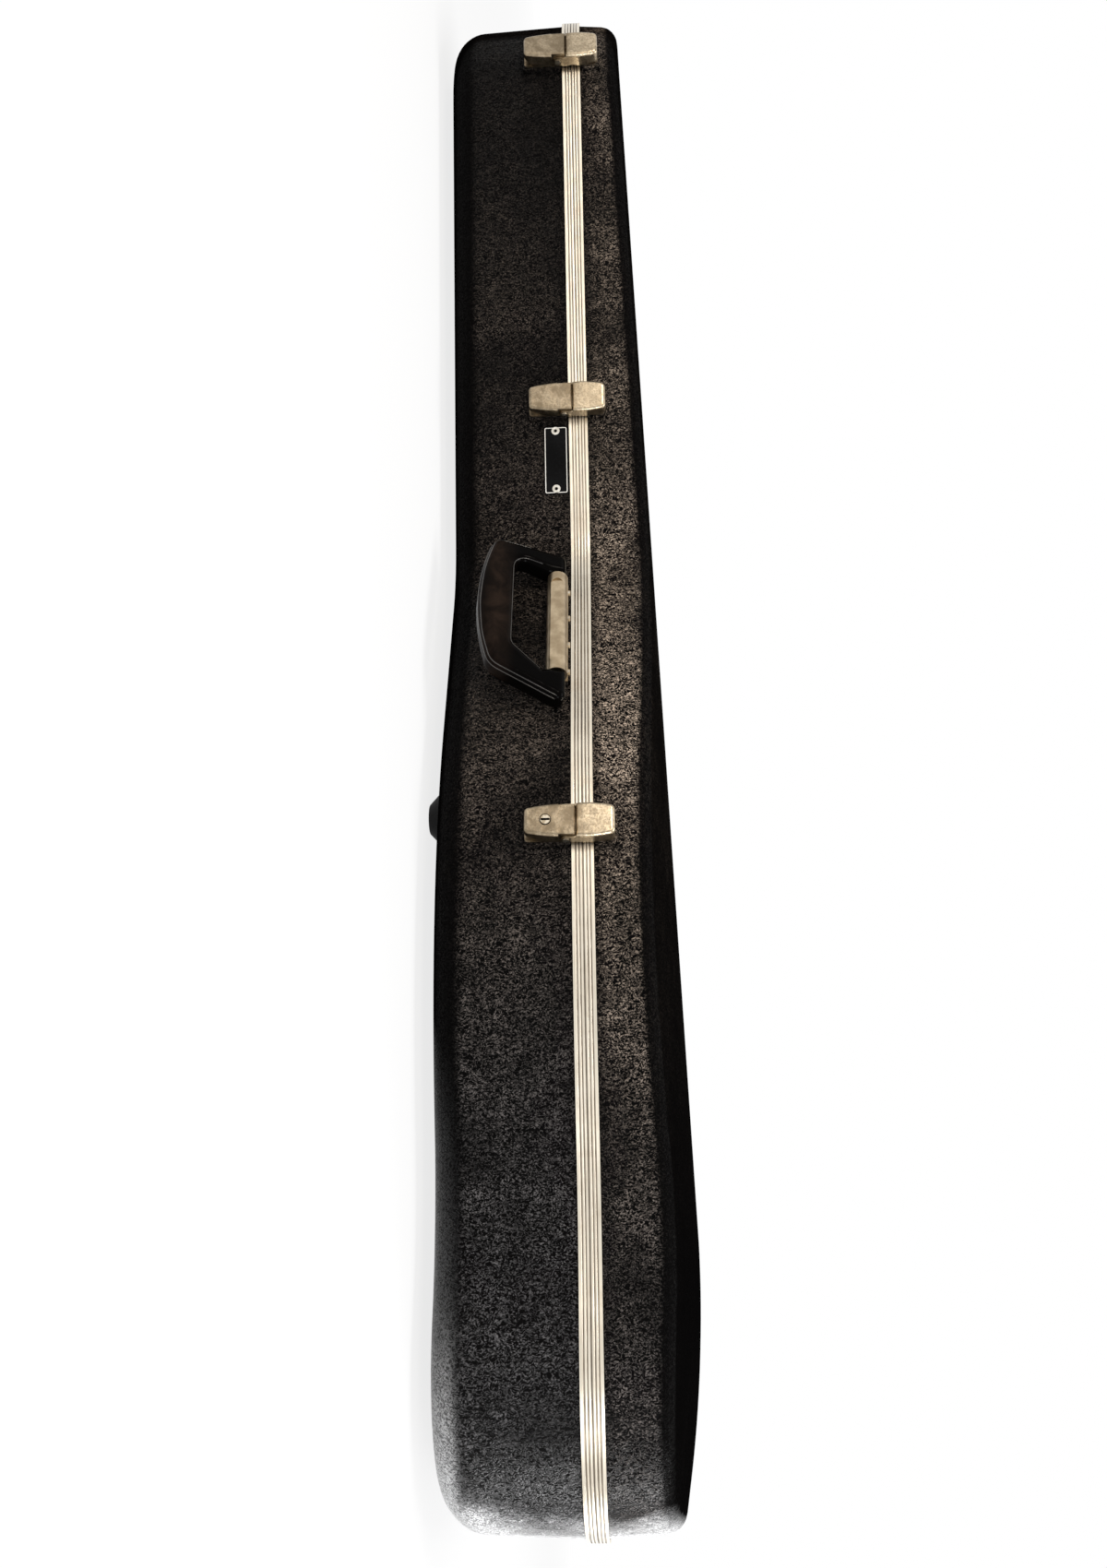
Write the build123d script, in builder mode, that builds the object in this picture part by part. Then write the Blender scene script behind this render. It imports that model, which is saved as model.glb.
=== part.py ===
from build123d import *
import os
from math import acos, atan2, copysign, cos, degrees, hypot, radians, sin, sqrt, tan

# A hard case for a semi-acoustic guitar: two moulded shells that meet in a ribbed metal band,
# three draw catches and a carrying handle on the front side, hinges on the spine side.
# Millimetres. The case lies on its back: +Z is up, +X points to the body end, and the front
# side, with the handle, faces -Y. The ground is z = 0.

# Plan outline of both shells on the seam, head end first
case_length = 1104.0
head_half_width = 97.0
head_corner_radius = 80.0
head_end_radius = 150.0
neck_taper = 1.0
neck_fillet_radius = 70.0
shoulder_angle = 30.0
shoulder_radius = 381.0
upper_bout_half_width = 212.0
upper_bout_to_waist = 99.0
waist_dip = 8.0
waist_radius = 180.0
waist_to_lower_bout = 102.0
lower_bout_extra = 11.0
end_flatness = 30.0

# Shells
shell_wall = 3.0
base_depth = 91.0
base_draft = 2.0
base_edge_radius = 25.0
lid_height_head = 36.0
lid_height_body = 77.0
lid_draft = 4.0
crown_radius = 920.0
crown_end_radius = 800.0
crown_end_run = 190.0
crown_end_turn = 16.0
lid_edge_radius = 13.0
pad_proud = 2.2
pad_margin = 1.2
pad_corner_radius = 2.0
pad_gap = 0.3
shank_depth = 2.6

# Ribbed band: one half on each shell, which grips the shell's edge in a slot
trim_height = 6.6
trim_proud = 2.0
trim_depth = 4.7
trim_web = 2.6
seam_gap = 0.15
rib_groove = 0.45
rib_groove_depth = 0.5
rib_edges = (2.0, 4.0)
slot_clearance = 0.15
tongue_inset = 1.9
tongue_width = 1.4
tongue_height = 1.4
groove_clearance = 0.5

# Foam and plush lining
foam_clearance = 0.2
foam_rim_drop = 3.2
base_foam_wall = 16.8
base_foam_floor = 14.8
lid_foam_wall = 10.8
lid_foam_top = 7.0
lining_thickness = 1.8
cavity_edge_radius = 14.0
lid_cavity_radius = 10.0

# Neck support and accessory compartment in the neck channel
cradle_thickness = 42.0
cradle_drop = 18.0
saddle_width = 62.0
saddle_depth = 16.0
partition_thickness = 12.0
partition_drop = 34.0
compartment_length = 190.0
partition_forward = 20.0
partition_rounding = 4.0

# Feet
foot_height = 9.0
foot_radius = 19.0
foot_ground_radius = 9.5
foot_rounding = 1.5
foot_seat = 3.4
head_foot_offset = 28.0
front_foot_forward = 16.0
front_foot_inset = 16.0
rear_foot_spread = 118.0
foot_screw_radius = 2.0
foot_screw_head_radius = 3.8
foot_screw_head_height = 2.6

# Draw catches: lengths run from the seam, heights from the shell's wall
catch_width = 22.0
catch_top = 13.2
catch_sheet = 1.3
plate_sheet = 1.2
lever_length = 30.4
lever_split = 4.0
lever_end_half_width = 8.0
lever_underside = 4.2
claw_length = 19.6
claw_end_half_width = 9.0
split_gap = 0.8
ear_thickness = 1.2
ear_clearance = 0.2
ear_radius = 3.5
claw_pivot_drop = 9.6
claw_pivot_height = 7.0
lever_pivot_drop = 5.4
lever_pivot_height = 8.2
pivot_pin_radius = 1.25
pin_clearance = 0.05
plate_ear_radius = 2.5
plate_half_width = 10.0
ear_notch = 14.0
claw_rivet_head_radius = 2.0
claw_rivet_head = 0.5
cover_bow = 1.0
cover_corner_radius = 3.4
cover_rounding = 2.2
split_chamfer = 0.8
lever_thumb_height = 8.5
lever_thumb_length = 5.4
strike_lip_thickness = 1.5
strike_lip_height = 4.8
strike_clearance = 0.5
strike_lip_half_width = 6.8
strike_margin = 0.0
strike_corner_radius = 4.0
strike_rivet_spread = 5.0
strike_rivet_rise = 10.5
plate_rivet_near = 14.0
plate_rivet_far = 28.0
plate_rivet_radius = 1.6
plate_rivet_head_radius = 2.8
plate_rivet_head_height = 1.0
lock_radius = 3.5
lock_drop = 21.6
lock_cam_length = 5.7
lock_cam_width = 3.6
lock_cam_thickness = 1.2
lock_proud = 0.4
cam_height = 5.0
keyway_width = 1.5
keyway_length = 5.8
keyway_depth = 2.0
keeper_reach = 7.0
keeper_lip = 2.8
keeper_width = 4.0
keeper_sheet = 1.0
keeper_gap = 0.5

# Places of the catches, label and handle on the front wall
head_catch_angle = 9.0
middle_catch_run = 96.5
lower_catch_angle = 16.4
label_run = 54.5
handle_from_bout = 64.2

# Handle
handle_pivot_drop = 15.6
barrel_radius = 7.0
barrel_bore_radius = 5.0
barrel_length = 91.0
barrel_facet_length = 78.0
barrel_facet_depth = 1.3
journal_length = 13.0
journal_clearance = 0.1
handle_head_end = 62.8
handle_body_end = 73.2
handle_head_corner = 69.8
handle_body_corner = 49.2
handle_reach = 54.0
handle_corner_drop = 45.0
handle_opening_reach = 30.5
handle_opening_head_end = 54.8
handle_opening_body_end = 28.2
handle_knee_run = 47.5
handle_knee_drop = 10.5
handle_arm_gap = 0.6
handle_heel = 5.0
handle_head_corner_radius = 8.0
handle_body_corner_radius = 14.0
handle_inner_corner = 7.0
handle_thickness = 15.0
handle_rounding = 5.0
handle_rest_angle = 16.0
handle_rivet_spacing = 25.0
barrel_foot_half = 7.0
bracket_tab_drop = 8.9
bracket_tab_width = 5.0
bracket_tab_height = 3.6
bracket_rivet_radius = 0.8
bracket_rivet_head_radius = 1.4
bracket_rivet_head_height = 0.7

# Label plate
label_length = 50.0
label_height = 17.0
label_thickness = 0.8
label_drop = 16.2
label_rivet_spacing = 43.0
label_rivet_radius = 1.5
label_rivet_head_radius = 2.9
label_rivet_head_height = 0.9
label_rivet_bore_radius = 1.1
label_corner_radius = 0.8

# Hinges
hinge_width = 50.0
hinge_leaf_length = 27.0
hinge_sheet = 1.2
knuckle_radius = 3.4
hinge_pin_radius = 1.6
knuckle_gap = 0.3
knuckle_cut = 3.1
leaf_rivet_spread = 17.0
leaf_rivet_rise = 5.5
leaf_rivet_radius = 1.6
leaf_rivet_head_radius = 2.8
leaf_rivet_head_height = 1.0

# Outline worked out from its driving sizes, for the half with y > 0
seam_z = foot_height + base_depth
head_x = -case_length / 2
body_x = case_length / 2
lower_bout_half_width = upper_bout_half_width + lower_bout_extra
lower_dip = waist_dip + lower_bout_extra
upper_back_radius = (upper_bout_to_waist**2 + waist_dip**2) / (2 * waist_dip) - waist_radius
lower_bout_radius = (waist_to_lower_bout**2 + lower_dip**2) / (2 * lower_dip) - waist_radius
lower_centre = (body_x - lower_bout_radius - end_flatness, lower_bout_half_width - lower_bout_radius)
body_end_radius = (
    (lower_bout_radius + end_flatness) ** 2 + lower_centre[1] ** 2 - lower_bout_radius**2
) / (2 * end_flatness)
body_end_centre = (body_x - body_end_radius, 0.0)
waist_x = lower_centre[0] - waist_to_lower_bout
waist_centre = (waist_x, upper_bout_half_width - waist_dip + waist_radius)
bout_x = waist_x - upper_bout_to_waist
upper_centre = (bout_x, upper_bout_half_width - upper_back_radius)
shoulder_centre = (bout_x, upper_bout_half_width - shoulder_radius)
corner_y = head_half_width - head_corner_radius
head_end_centre = (head_x + head_end_radius, 0.0)
corner_reach = sqrt((head_end_radius - head_corner_radius) ** 2 - corner_y**2)
corner_centre = (head_end_centre[0] - corner_reach, corner_y)


def angle_to(start, end):
    """Direction from start to end, in degrees."""
    return degrees(atan2(end[1] - start[1], end[0] - start[0]))


def polar(centre, radius, angle):
    """Point at a radius and an angle in degrees from centre."""
    turn = radians(angle)
    return (centre[0] + radius * cos(turn), centre[1] + radius * sin(turn))


neck_normal = 90.0 - neck_taper
shoulder_normal = 90.0 + shoulder_angle
corner_turn = angle_to(head_end_centre, corner_centre)
upper_turn = angle_to(upper_centre, waist_centre)
lower_turn = angle_to(lower_centre, waist_centre)
body_turn = angle_to(body_end_centre, lower_centre)


def neck_fillet_centre():
    """Centre of the hollow arc that is tangent to the neck line and the shoulder line."""
    neck = polar((0, 0), 1, neck_normal)
    slope = polar((0, 0), 1, shoulder_normal)
    on_neck = polar(corner_centre, head_corner_radius, neck_normal)
    on_slope = polar(shoulder_centre, shoulder_radius, shoulder_normal)
    reach_neck = neck[0] * on_neck[0] + neck[1] * on_neck[1] + neck_fillet_radius
    reach_slope = slope[0] * on_slope[0] + slope[1] * on_slope[1] + neck_fillet_radius
    area = neck[0] * slope[1] - neck[1] * slope[0]
    x = (reach_neck * slope[1] - reach_slope * neck[1]) / area
    y = (neck[0] * reach_slope - slope[0] * reach_neck) / area
    return (x, y)


fillet_centre = neck_fillet_centre()
os.makedirs("parts", exist_ok=True)


def outline(grow=0.0):
    """Plan outline of the case, moved outward by grow, as a face on XY."""
    hollow = neck_fillet_radius - grow
    convex = head_corner_radius + grow
    slope = shoulder_radius + grow
    with BuildSketch() as plan:
        with BuildLine():
            CenterArc(corner_centre, convex, neck_normal, corner_turn - neck_normal)
            neck_end = polar(fillet_centre, hollow, neck_normal + 180)
            Line(polar(corner_centre, convex, neck_normal), neck_end)
            CenterArc(fillet_centre, hollow, neck_normal + 180, shoulder_normal - neck_normal)
            slope_start = polar(fillet_centre, hollow, shoulder_normal + 180)
            Line(slope_start, polar(shoulder_centre, slope, shoulder_normal))
            CenterArc(shoulder_centre, slope, 90, shoulder_angle)
            CenterArc(upper_centre, upper_back_radius + grow, upper_turn, 90 - upper_turn)
            CenterArc(waist_centre, waist_radius - grow, upper_turn + 180, lower_turn - upper_turn)
            CenterArc(lower_centre, lower_bout_radius + grow, body_turn, lower_turn - body_turn)
            mirror(about=Plane.XZ)
            CenterArc(head_end_centre, head_end_radius + grow, corner_turn, 360 - 2 * corner_turn)
            CenterArc(body_end_centre, body_end_radius + grow, -body_turn, 2 * body_turn)
        make_face()
    return plan.sketch


def wall_frame(point, normal, front=True):
    """Plane on the shells' wall at the seam: x runs along the wall, y is up, z points outward."""
    side = -1 if front else 1
    out = polar((0, 0), 1, normal)
    z_dir = Vector(out[0], side * out[1], 0)
    return Plane(
        origin=(point[0], side * point[1], seam_z),
        x_dir=Vector(0, 0, 1).cross(z_dir),
        z_dir=z_dir,
    )


def on_neck(run):
    """Point of the straight neck wall, run short of where the hollow arc to the shoulder starts."""
    start = polar(corner_centre, head_corner_radius, neck_normal)
    x = fillet_centre[0] - run
    return (x, start[1] - (x - start[0]) * tan(radians(neck_taper)))


def on_shoulder(run):
    """Point of the straight shoulder wall, run short of where it bends into the upper bout."""
    end = polar(shoulder_centre, shoulder_radius, shoulder_normal)
    back = polar((0, 0), run, shoulder_angle)
    return (end[0] - back[0], end[1] - back[1])


def across(frame):
    """Plane across a wall frame: x is up, y points outward and z runs along the wall."""
    return Plane(origin=frame.origin, x_dir=frame.y_dir, z_dir=frame.x_dir)


def leaned(frame, angle, rise):
    """Wall frame moved up by rise and leaned by angle, onto a wall that draws in away from the seam."""
    lean = radians(angle)
    z_dir = frame.z_dir * cos(lean) - frame.y_dir * sin(lean)
    origin = frame.origin + frame.y_dir * rise + frame.z_dir * (rise * tan(lean))
    return Plane(origin=origin, x_dir=frame.x_dir, z_dir=z_dir)


# Frames of what stands on the wall. The hinges share one line, tangent to both bouts.
bout_gap = (lower_centre[0] - shoulder_centre[0], lower_centre[1] - shoulder_centre[1])
hinge_normal = degrees(
    acos((shoulder_radius - lower_bout_radius) / hypot(*bout_gap)) + atan2(bout_gap[1], bout_gap[0])
)
head_catch_normal = 90.0 + head_catch_angle
head_catch_frame = wall_frame(polar(corner_centre, head_corner_radius, head_catch_normal), head_catch_normal)
middle_catch_frame = wall_frame(on_neck(middle_catch_run), neck_normal)
lower_catch_normal = 90.0 + lower_catch_angle
lower_catch_point = polar(shoulder_centre, shoulder_radius, lower_catch_normal)
lower_catch_frame = wall_frame(lower_catch_point, lower_catch_normal)
label_frame = wall_frame(on_neck(label_run), neck_normal)
handle_frame = wall_frame(on_shoulder(handle_from_bout), shoulder_normal)
upper_hinge_frame = wall_frame(polar(shoulder_centre, shoulder_radius, hinge_normal), hinge_normal, False)
lower_hinge_frame = wall_frame(polar(lower_centre, lower_bout_radius, hinge_normal), hinge_normal, False)
catches = {"head": head_catch_frame, "middle": middle_catch_frame, "lower": lower_catch_frame}
hinges = {"upper": upper_hinge_frame, "lower": lower_hinge_frame}

# The whole case stands with the middle of its box over the origin
knuckle_height = pad_proud + knuckle_radius
front_reach = lower_bout_half_width + trim_proud
hinge_turn = radians(hinge_normal)
spine_reach = (
    lower_hinge_frame.origin.Y
    + (knuckle_height + knuckle_radius) * sin(hinge_turn)
    - hinge_width / 2 * cos(hinge_turn)
)
centre_y = (front_reach - spine_reach) / 2


def keep(piece, name, frame=Plane.XY):
    """Set a finished piece on its frame and over the origin, name it and write it to its own file."""
    placed = Location((0, centre_y, 0)) * frame.location * piece.part
    placed.label = name
    export_step(placed, f"parts/{name}.step")


def drafted_prism(grow, height, draft):
    """Solid on the outline moved outward by grow, up or down from the seam, drawn in by draft."""
    with BuildPart() as prism:
        with BuildSketch(Plane.XY.offset(seam_z)):
            add(outline(grow))
        with BuildSketch(Plane.XY.offset(seam_z + height)):
            add(outline(grow - abs(height) * tan(radians(draft))))
        loft(ruled=True)
    return prism.part


def base_block(grow, depth, edge_radius):
    """Solid of the base's outer form, moved outward by grow, from the seam down."""
    with BuildPart() as block:
        add(drafted_prism(grow, -depth, base_draft))
        fillet(block.faces().sort_by(Axis.Z)[0].edges(), edge_radius)
    return block.part


def lid_block(grow, drop, edge_radius):
    """Solid of the lid's outer form, moved outward by grow, below a crown lowered by drop."""
    rise = lid_height_body - lid_height_head
    ridge = Plane(
        origin=(head_x, 0, seam_z + lid_height_head - drop),
        x_dir=(0, 1, 0),
        z_dir=(case_length, 0, rise),
    )
    crest = ridge.offset(case_length - crown_end_run)
    end_radius = crown_end_radius - drop
    with BuildPart() as cap:
        with BuildSketch(crest) as section:
            with Locations((0, drop - crown_radius)):
                Circle(crown_radius - drop)
            with Locations((0, -end_radius - crown_radius)):
                Rectangle(2 * crown_radius, 2 * crown_radius, mode=Mode.SUBTRACT)
        extrude(amount=-case_length)
        end_axis = Axis(crest.origin - crest.y_dir * end_radius, crest.x_dir)
        revolve(section.sketch, axis=end_axis, revolution_arc=crown_end_turn)
    with BuildPart() as block:
        add(drafted_prism(grow, lid_height_body + rise, lid_draft))
        add(cap.part, mode=Mode.INTERSECT)
        crown = [face for face in block.faces() if face.normal_at(face.center()).Z > cos(radians(45))]
        edges = [edge for face in crown for edge in face.edges()]
        rim = [edge for edge in edges if sum(edge.is_same(other) for other in edges) == 1]
        fillet(rim, edge_radius)
    return block.part


def ring(outer, inner, start, height):
    """Band between two offsets of the outline, from start above the seam upward by height."""
    with BuildPart() as band:
        with BuildSketch(Plane.XY.offset(seam_z + start)):
            add(outline(outer))
            add(outline(inner), mode=Mode.SUBTRACT)
        extrude(amount=height)
    return band.part


def pad(frame, half_width, start, end):
    """Flat moulded pad on a wall, from start to end above the seam, reaching through the wall."""
    with BuildPart() as block:
        with BuildSketch(frame.offset(pad_proud)):
            with Locations((0, (start + end) / 2)):
                RectangleRounded(2 * half_width, abs(end - start), pad_corner_radius)
        extrude(amount=-pad_proud - 2 * shell_wall)
    return block.part


def posts(frame, places, radius, start, end):
    """Round posts at places on a wall frame, from start to end outward of the wall."""
    with BuildPart() as group:
        with BuildSketch(frame.offset(start)):
            with Locations(*places):
                Circle(radius)
        extrude(amount=end - start)
    return group.part


def rivets(frame, places, shank_radius, head_radius, seat, head_height):
    """Rivets whose heads sit on seat and whose shanks fill the wall behind."""
    with BuildPart() as group:
        add(posts(frame, places, shank_radius, -shank_depth, seat))
        add(posts(frame, places, head_radius, seat, seat + head_height))
    return group.part


# Places of the rivets on their own frames, as distances along the wall and above the seam
plate_rivet_places = [(0, -plate_rivet_near), (0, -plate_rivet_far)]
strike_rivet_places = [(-strike_rivet_spread, strike_rivet_rise), (strike_rivet_spread, strike_rivet_rise)]
leaf_middle = (knuckle_cut + hinge_leaf_length) / 2
base_leaf_places = [
    (x, y - leaf_middle)
    for x in (-leaf_rivet_spread, leaf_rivet_spread)
    for y in (-leaf_rivet_rise, leaf_rivet_rise)
]
lid_leaf_places = [(x, -y) for x, y in base_leaf_places]
bracket_rivet_places = [(x * handle_rivet_spacing, -bracket_tab_drop) for x in (-1.5, -0.5, 0.5, 1.5)]
label_rivet_places = [(-label_rivet_spacing / 2, 0), (label_rivet_spacing / 2, 0)]
label_plane = leaned(label_frame, base_draft, -label_drop)

# Places of the feet on the underside
flat_inset = base_depth * tan(radians(base_draft)) + base_edge_radius
front_foot_x = lower_catch_point[0] - front_foot_forward
front_foot_y = lower_catch_point[1] - flat_inset - foot_radius - front_foot_inset
foot_places = {
    "front_foot": (front_foot_x, -front_foot_y),
    "spine_foot": (front_foot_x, front_foot_y),
    "rear_front_foot": (lower_centre[0], -rear_foot_spread),
    "rear_spine_foot": (lower_centre[0], rear_foot_spread),
    "head_foot": (corner_centre[0], head_foot_offset),
}


def shell_holes(base):
    """Rivet holes of one shell, as solids to cut away."""
    side = -1 if base else 1
    deep = -2 * shell_wall - trim_proud
    with BuildPart() as holes:
        for frame in catches.values():
            places = plate_rivet_places if base else strike_rivet_places
            add(posts(frame, places, plate_rivet_radius + pin_clearance, deep, pad_proud))
        for frame in hinges.values():
            places = base_leaf_places if base else lid_leaf_places
            add(posts(frame, places, leaf_rivet_radius + pin_clearance, deep, pad_proud))
        if base:
            bracket_hole = bracket_rivet_radius + pin_clearance
            add(posts(handle_frame, bracket_rivet_places, bracket_hole, deep, pad_proud))
            add(posts(label_plane, label_rivet_places, label_rivet_radius + pin_clearance, deep, 0))
            with BuildSketch(Plane.XY.offset(foot_height)):
                with Locations(*foot_places.values()):
                    Circle(foot_screw_radius + pin_clearance)
            extrude(amount=shell_wall)
    return holes.part


# Moulded shells: an outer form with flat pads, less an inner form, with its edge in the band's slot
catch_pad_half = catch_width / 2 + pad_margin
hinge_pad_half = hinge_width / 2 + pad_margin
lever_end = lever_split + lever_length
base_pad_start = -trim_height - pad_gap
lid_pad_start = trim_height + pad_gap
shell_edge = trim_web + slot_clearance

with BuildPart() as base_shell:
    add(base_block(0, base_depth, base_edge_radius))
    for frame in catches.values():
        add(pad(frame, catch_pad_half, base_pad_start, -lever_end - pad_margin))
    for frame in hinges.values():
        add(pad(frame, hinge_pad_half, base_pad_start, -hinge_leaf_length - pad_margin))
    add(pad(handle_frame, barrel_length / 2, base_pad_start, -handle_pivot_drop - barrel_radius))
    add(base_block(-shell_wall, base_depth - shell_wall, base_edge_radius - shell_wall), mode=Mode.SUBTRACT)
    add(shell_holes(True), mode=Mode.SUBTRACT)
    split(bisect_by=Plane.XY.offset(seam_z - shell_edge), keep=Keep.BOTTOM)
keep(base_shell, "base_shell")

with BuildPart() as lid_shell:
    add(lid_block(0, 0, lid_edge_radius))
    for frame in catches.values():
        add(pad(frame, catch_pad_half, lid_pad_start, claw_length + pad_margin))
    for frame in hinges.values():
        add(pad(frame, hinge_pad_half, lid_pad_start, hinge_leaf_length + pad_margin))
    add(lid_block(-shell_wall, shell_wall, lid_edge_radius - shell_wall), mode=Mode.SUBTRACT)
    add(shell_holes(False), mode=Mode.SUBTRACT)
    split(bisect_by=Plane.XY.offset(seam_z + shell_edge), keep=Keep.TOP)
keep(lid_shell, "lid_shell")

# Ribbed bands: a channel over each shell's edge, with grooves between its ribs
leg_inset = shell_wall + slot_clearance + trim_height * tan(radians(lid_draft))


def band(side):
    """Band of the lid (side 1) or of the base (side -1), without its tongue or groove."""
    bottom = seam_gap if side > 0 else -trim_height
    slot = trim_web if side > 0 else -trim_height
    with BuildPart() as strip:
        add(ring(trim_proud, -trim_depth, bottom, trim_height - seam_gap))
        add(ring(slot_clearance, -leg_inset, slot, trim_height - trim_web), mode=Mode.SUBTRACT)
        for edge in rib_edges:
            start = edge if side > 0 else -edge - rib_groove
            add(ring(trim_proud + 1, trim_proud - rib_groove_depth, start, rib_groove), mode=Mode.SUBTRACT)
    return strip.part


with BuildPart() as base_trim:
    add(band(-1))
    add(ring(-tongue_inset, -tongue_inset - tongue_width, -seam_gap, tongue_height))
keep(base_trim, "base_trim")

with BuildPart() as lid_trim:
    add(band(1))
    add(
        ring(
            groove_clearance - tongue_inset,
            -tongue_inset - tongue_width - groove_clearance,
            seam_gap,
            tongue_height - seam_gap + groove_clearance - seam_gap,
        ),
        mode=Mode.SUBTRACT,
    )
keep(lid_trim, "lid_trim")

# Foam liners: trays that fill the shells, stepped in below the bands' inner legs
foam_grow = -shell_wall - foam_clearance
rim_grow = -trim_depth - foam_clearance
step = trim_height + foam_clearance
base_cavity = foam_grow - base_foam_wall
base_cavity_depth = base_depth + foam_grow - base_foam_floor
lid_cavity = foam_grow - lid_foam_wall
lid_cavity_drop = lid_foam_top - foam_grow

with BuildPart() as base_foam:
    add(base_block(foam_grow, base_depth + foam_grow, base_edge_radius + foam_grow))
    split(bisect_by=Plane.XY.offset(seam_z - step), keep=Keep.BOTTOM)
    with BuildSketch(Plane.XY.offset(seam_z - step)):
        add(outline(rim_grow))
    extrude(amount=step - foam_rim_drop)
    add(base_block(base_cavity, base_cavity_depth, cavity_edge_radius), mode=Mode.SUBTRACT)
keep(base_foam, "base_foam")

with BuildPart() as lid_foam:
    add(lid_block(foam_grow, -foam_grow, lid_edge_radius + foam_grow))
    split(bisect_by=Plane.XY.offset(seam_z + step), keep=Keep.TOP)
    with BuildSketch(Plane.XY.offset(seam_z + foam_rim_drop)):
        add(outline(rim_grow))
    extrude(amount=step - foam_rim_drop)
    add(lid_block(lid_cavity, lid_cavity_drop, lid_cavity_radius), mode=Mode.SUBTRACT)
keep(lid_foam, "lid_foam")

# Plush linings: a skin over each foam tray with a flange on its rim
flange_far = foam_rim_drop - foam_clearance
flange_near = flange_far - lining_thickness
base_skin = base_cavity - foam_clearance
base_skin_depth = base_cavity_depth - foam_clearance
base_room = base_skin - lining_thickness
base_room_depth = base_skin_depth - lining_thickness
base_room_radius = cavity_edge_radius - lining_thickness
lid_skin = lid_cavity - foam_clearance
lid_skin_drop = lid_cavity_drop + foam_clearance

with BuildPart() as base_lining:
    add(base_block(base_skin, base_skin_depth, cavity_edge_radius))
    split(bisect_by=Plane.XY.offset(seam_z - flange_near), keep=Keep.BOTTOM)
    add(ring(rim_grow, base_skin - 1, -flange_far, lining_thickness))
    add(base_block(base_room, base_room_depth, base_room_radius), mode=Mode.SUBTRACT)
keep(base_lining, "base_lining")

with BuildPart() as lid_lining:
    add(lid_block(lid_skin, lid_skin_drop, lid_cavity_radius))
    split(bisect_by=Plane.XY.offset(seam_z + flange_near), keep=Keep.TOP)
    add(ring(rim_grow, lid_skin - 1, flange_near, lining_thickness))
    add(
        lid_block(
            lid_skin - lining_thickness,
            lid_skin_drop + lining_thickness,
            lid_cavity_radius - lining_thickness,
        ),
        mode=Mode.SUBTRACT,
    )
keep(lid_lining, "lid_lining")

# Neck support and the wall that closes the accessory compartment, both cut to the lined channel
room_fit = base_block(
    base_room - foam_clearance, base_room_depth - foam_clearance, base_room_radius - foam_clearance
)
partition_x = fillet_centre[0] + partition_forward
cradle_x = partition_x - compartment_length

with BuildPart() as neck_cradle:
    with BuildSketch(Plane.XY.offset(seam_z - base_depth)):
        with Locations((cradle_x - cradle_thickness / 2, 0)):
            Rectangle(cradle_thickness, 2 * head_half_width)
    extrude(amount=base_depth - cradle_drop)
    add(room_fit, mode=Mode.INTERSECT)
    with BuildSketch(Plane.YZ.offset(cradle_x - cradle_thickness)):
        with Locations((0, seam_z - cradle_drop)):
            SlotOverall(2 * saddle_depth + saddle_width, 2 * saddle_depth)
    extrude(amount=cradle_thickness, mode=Mode.SUBTRACT)
keep(neck_cradle, "neck_cradle")

with BuildPart() as compartment_wall:
    with BuildSketch(Plane.XY.offset(seam_z - base_depth)):
        with Locations((partition_x + partition_thickness / 2, 0)):
            Rectangle(partition_thickness, 2 * upper_bout_half_width)
    extrude(amount=base_depth - partition_drop)
    add(room_fit, mode=Mode.INTERSECT)
    fillet(compartment_wall.faces().sort_by(Axis.Z)[-1].edges().filter_by(Axis.Y), partition_rounding)
keep(compartment_wall, "compartment_wall")

# Feet: blunt cones under the base, each with a screw sunk into it
foot_taper = degrees(atan2(foot_radius - foot_ground_radius, foot_height))
for name, place in foot_places.items():
    with BuildPart() as foot:
        with BuildSketch(Plane(origin=(place[0], place[1], foot_height), z_dir=(0, 0, -1))):
            Circle(foot_radius)
        extrude(amount=foot_height, taper=foot_taper)
        fillet(foot.faces().sort_by(Axis.Z)[0].edges(), foot_rounding)
        with BuildSketch(Plane(origin=(place[0], place[1], foot_height), z_dir=(0, 0, -1))):
            Circle(foot_screw_radius + pin_clearance)
        extrude(amount=foot_height, mode=Mode.SUBTRACT)
        with BuildSketch(Plane(origin=(place[0], place[1], foot_height - foot_seat), z_dir=(0, 0, -1))):
            Circle(foot_screw_head_radius + slot_clearance)
        extrude(amount=foot_height, mode=Mode.SUBTRACT)
    keep(foot, name)

with BuildPart() as foot_screws:
    with BuildSketch(Plane.XY.offset(foot_height - foot_seat)):
        with Locations(*foot_places.values()):
            Circle(foot_screw_radius)
    extrude(amount=foot_seat + shell_wall - foam_clearance)
    with BuildSketch(Plane.XY.offset(foot_height - foot_seat - foot_screw_head_height)):
        with Locations(*foot_places.values()):
            Circle(foot_screw_head_radius)
    extrude(amount=foot_screw_head_height)
keep(foot_screws, "foot_screws")

# Draw catches. The lever turns on ears of its base plate. The claw turns on the lever, reaches
# over the seam, and its end wall pulls on a lip of the strike plate on the lid.
plate_top = pad_proud + plate_sheet
inner_face = catch_top - catch_sheet
lever_pivot = (-lever_pivot_drop, lever_pivot_height)
claw_pivot = (-claw_pivot_drop, claw_pivot_height)
half = catch_width / 2
cheek_half = half - ear_thickness - ear_clearance
lever_room = cheek_half - ear_thickness
plate_ear_half = lever_room - ear_clearance
claw_front = -lever_split + split_gap
claw_room = half - ear_thickness
pin_hole = pivot_pin_radius + pin_clearance
plate_hole = plate_rivet_radius + pin_clearance


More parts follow.
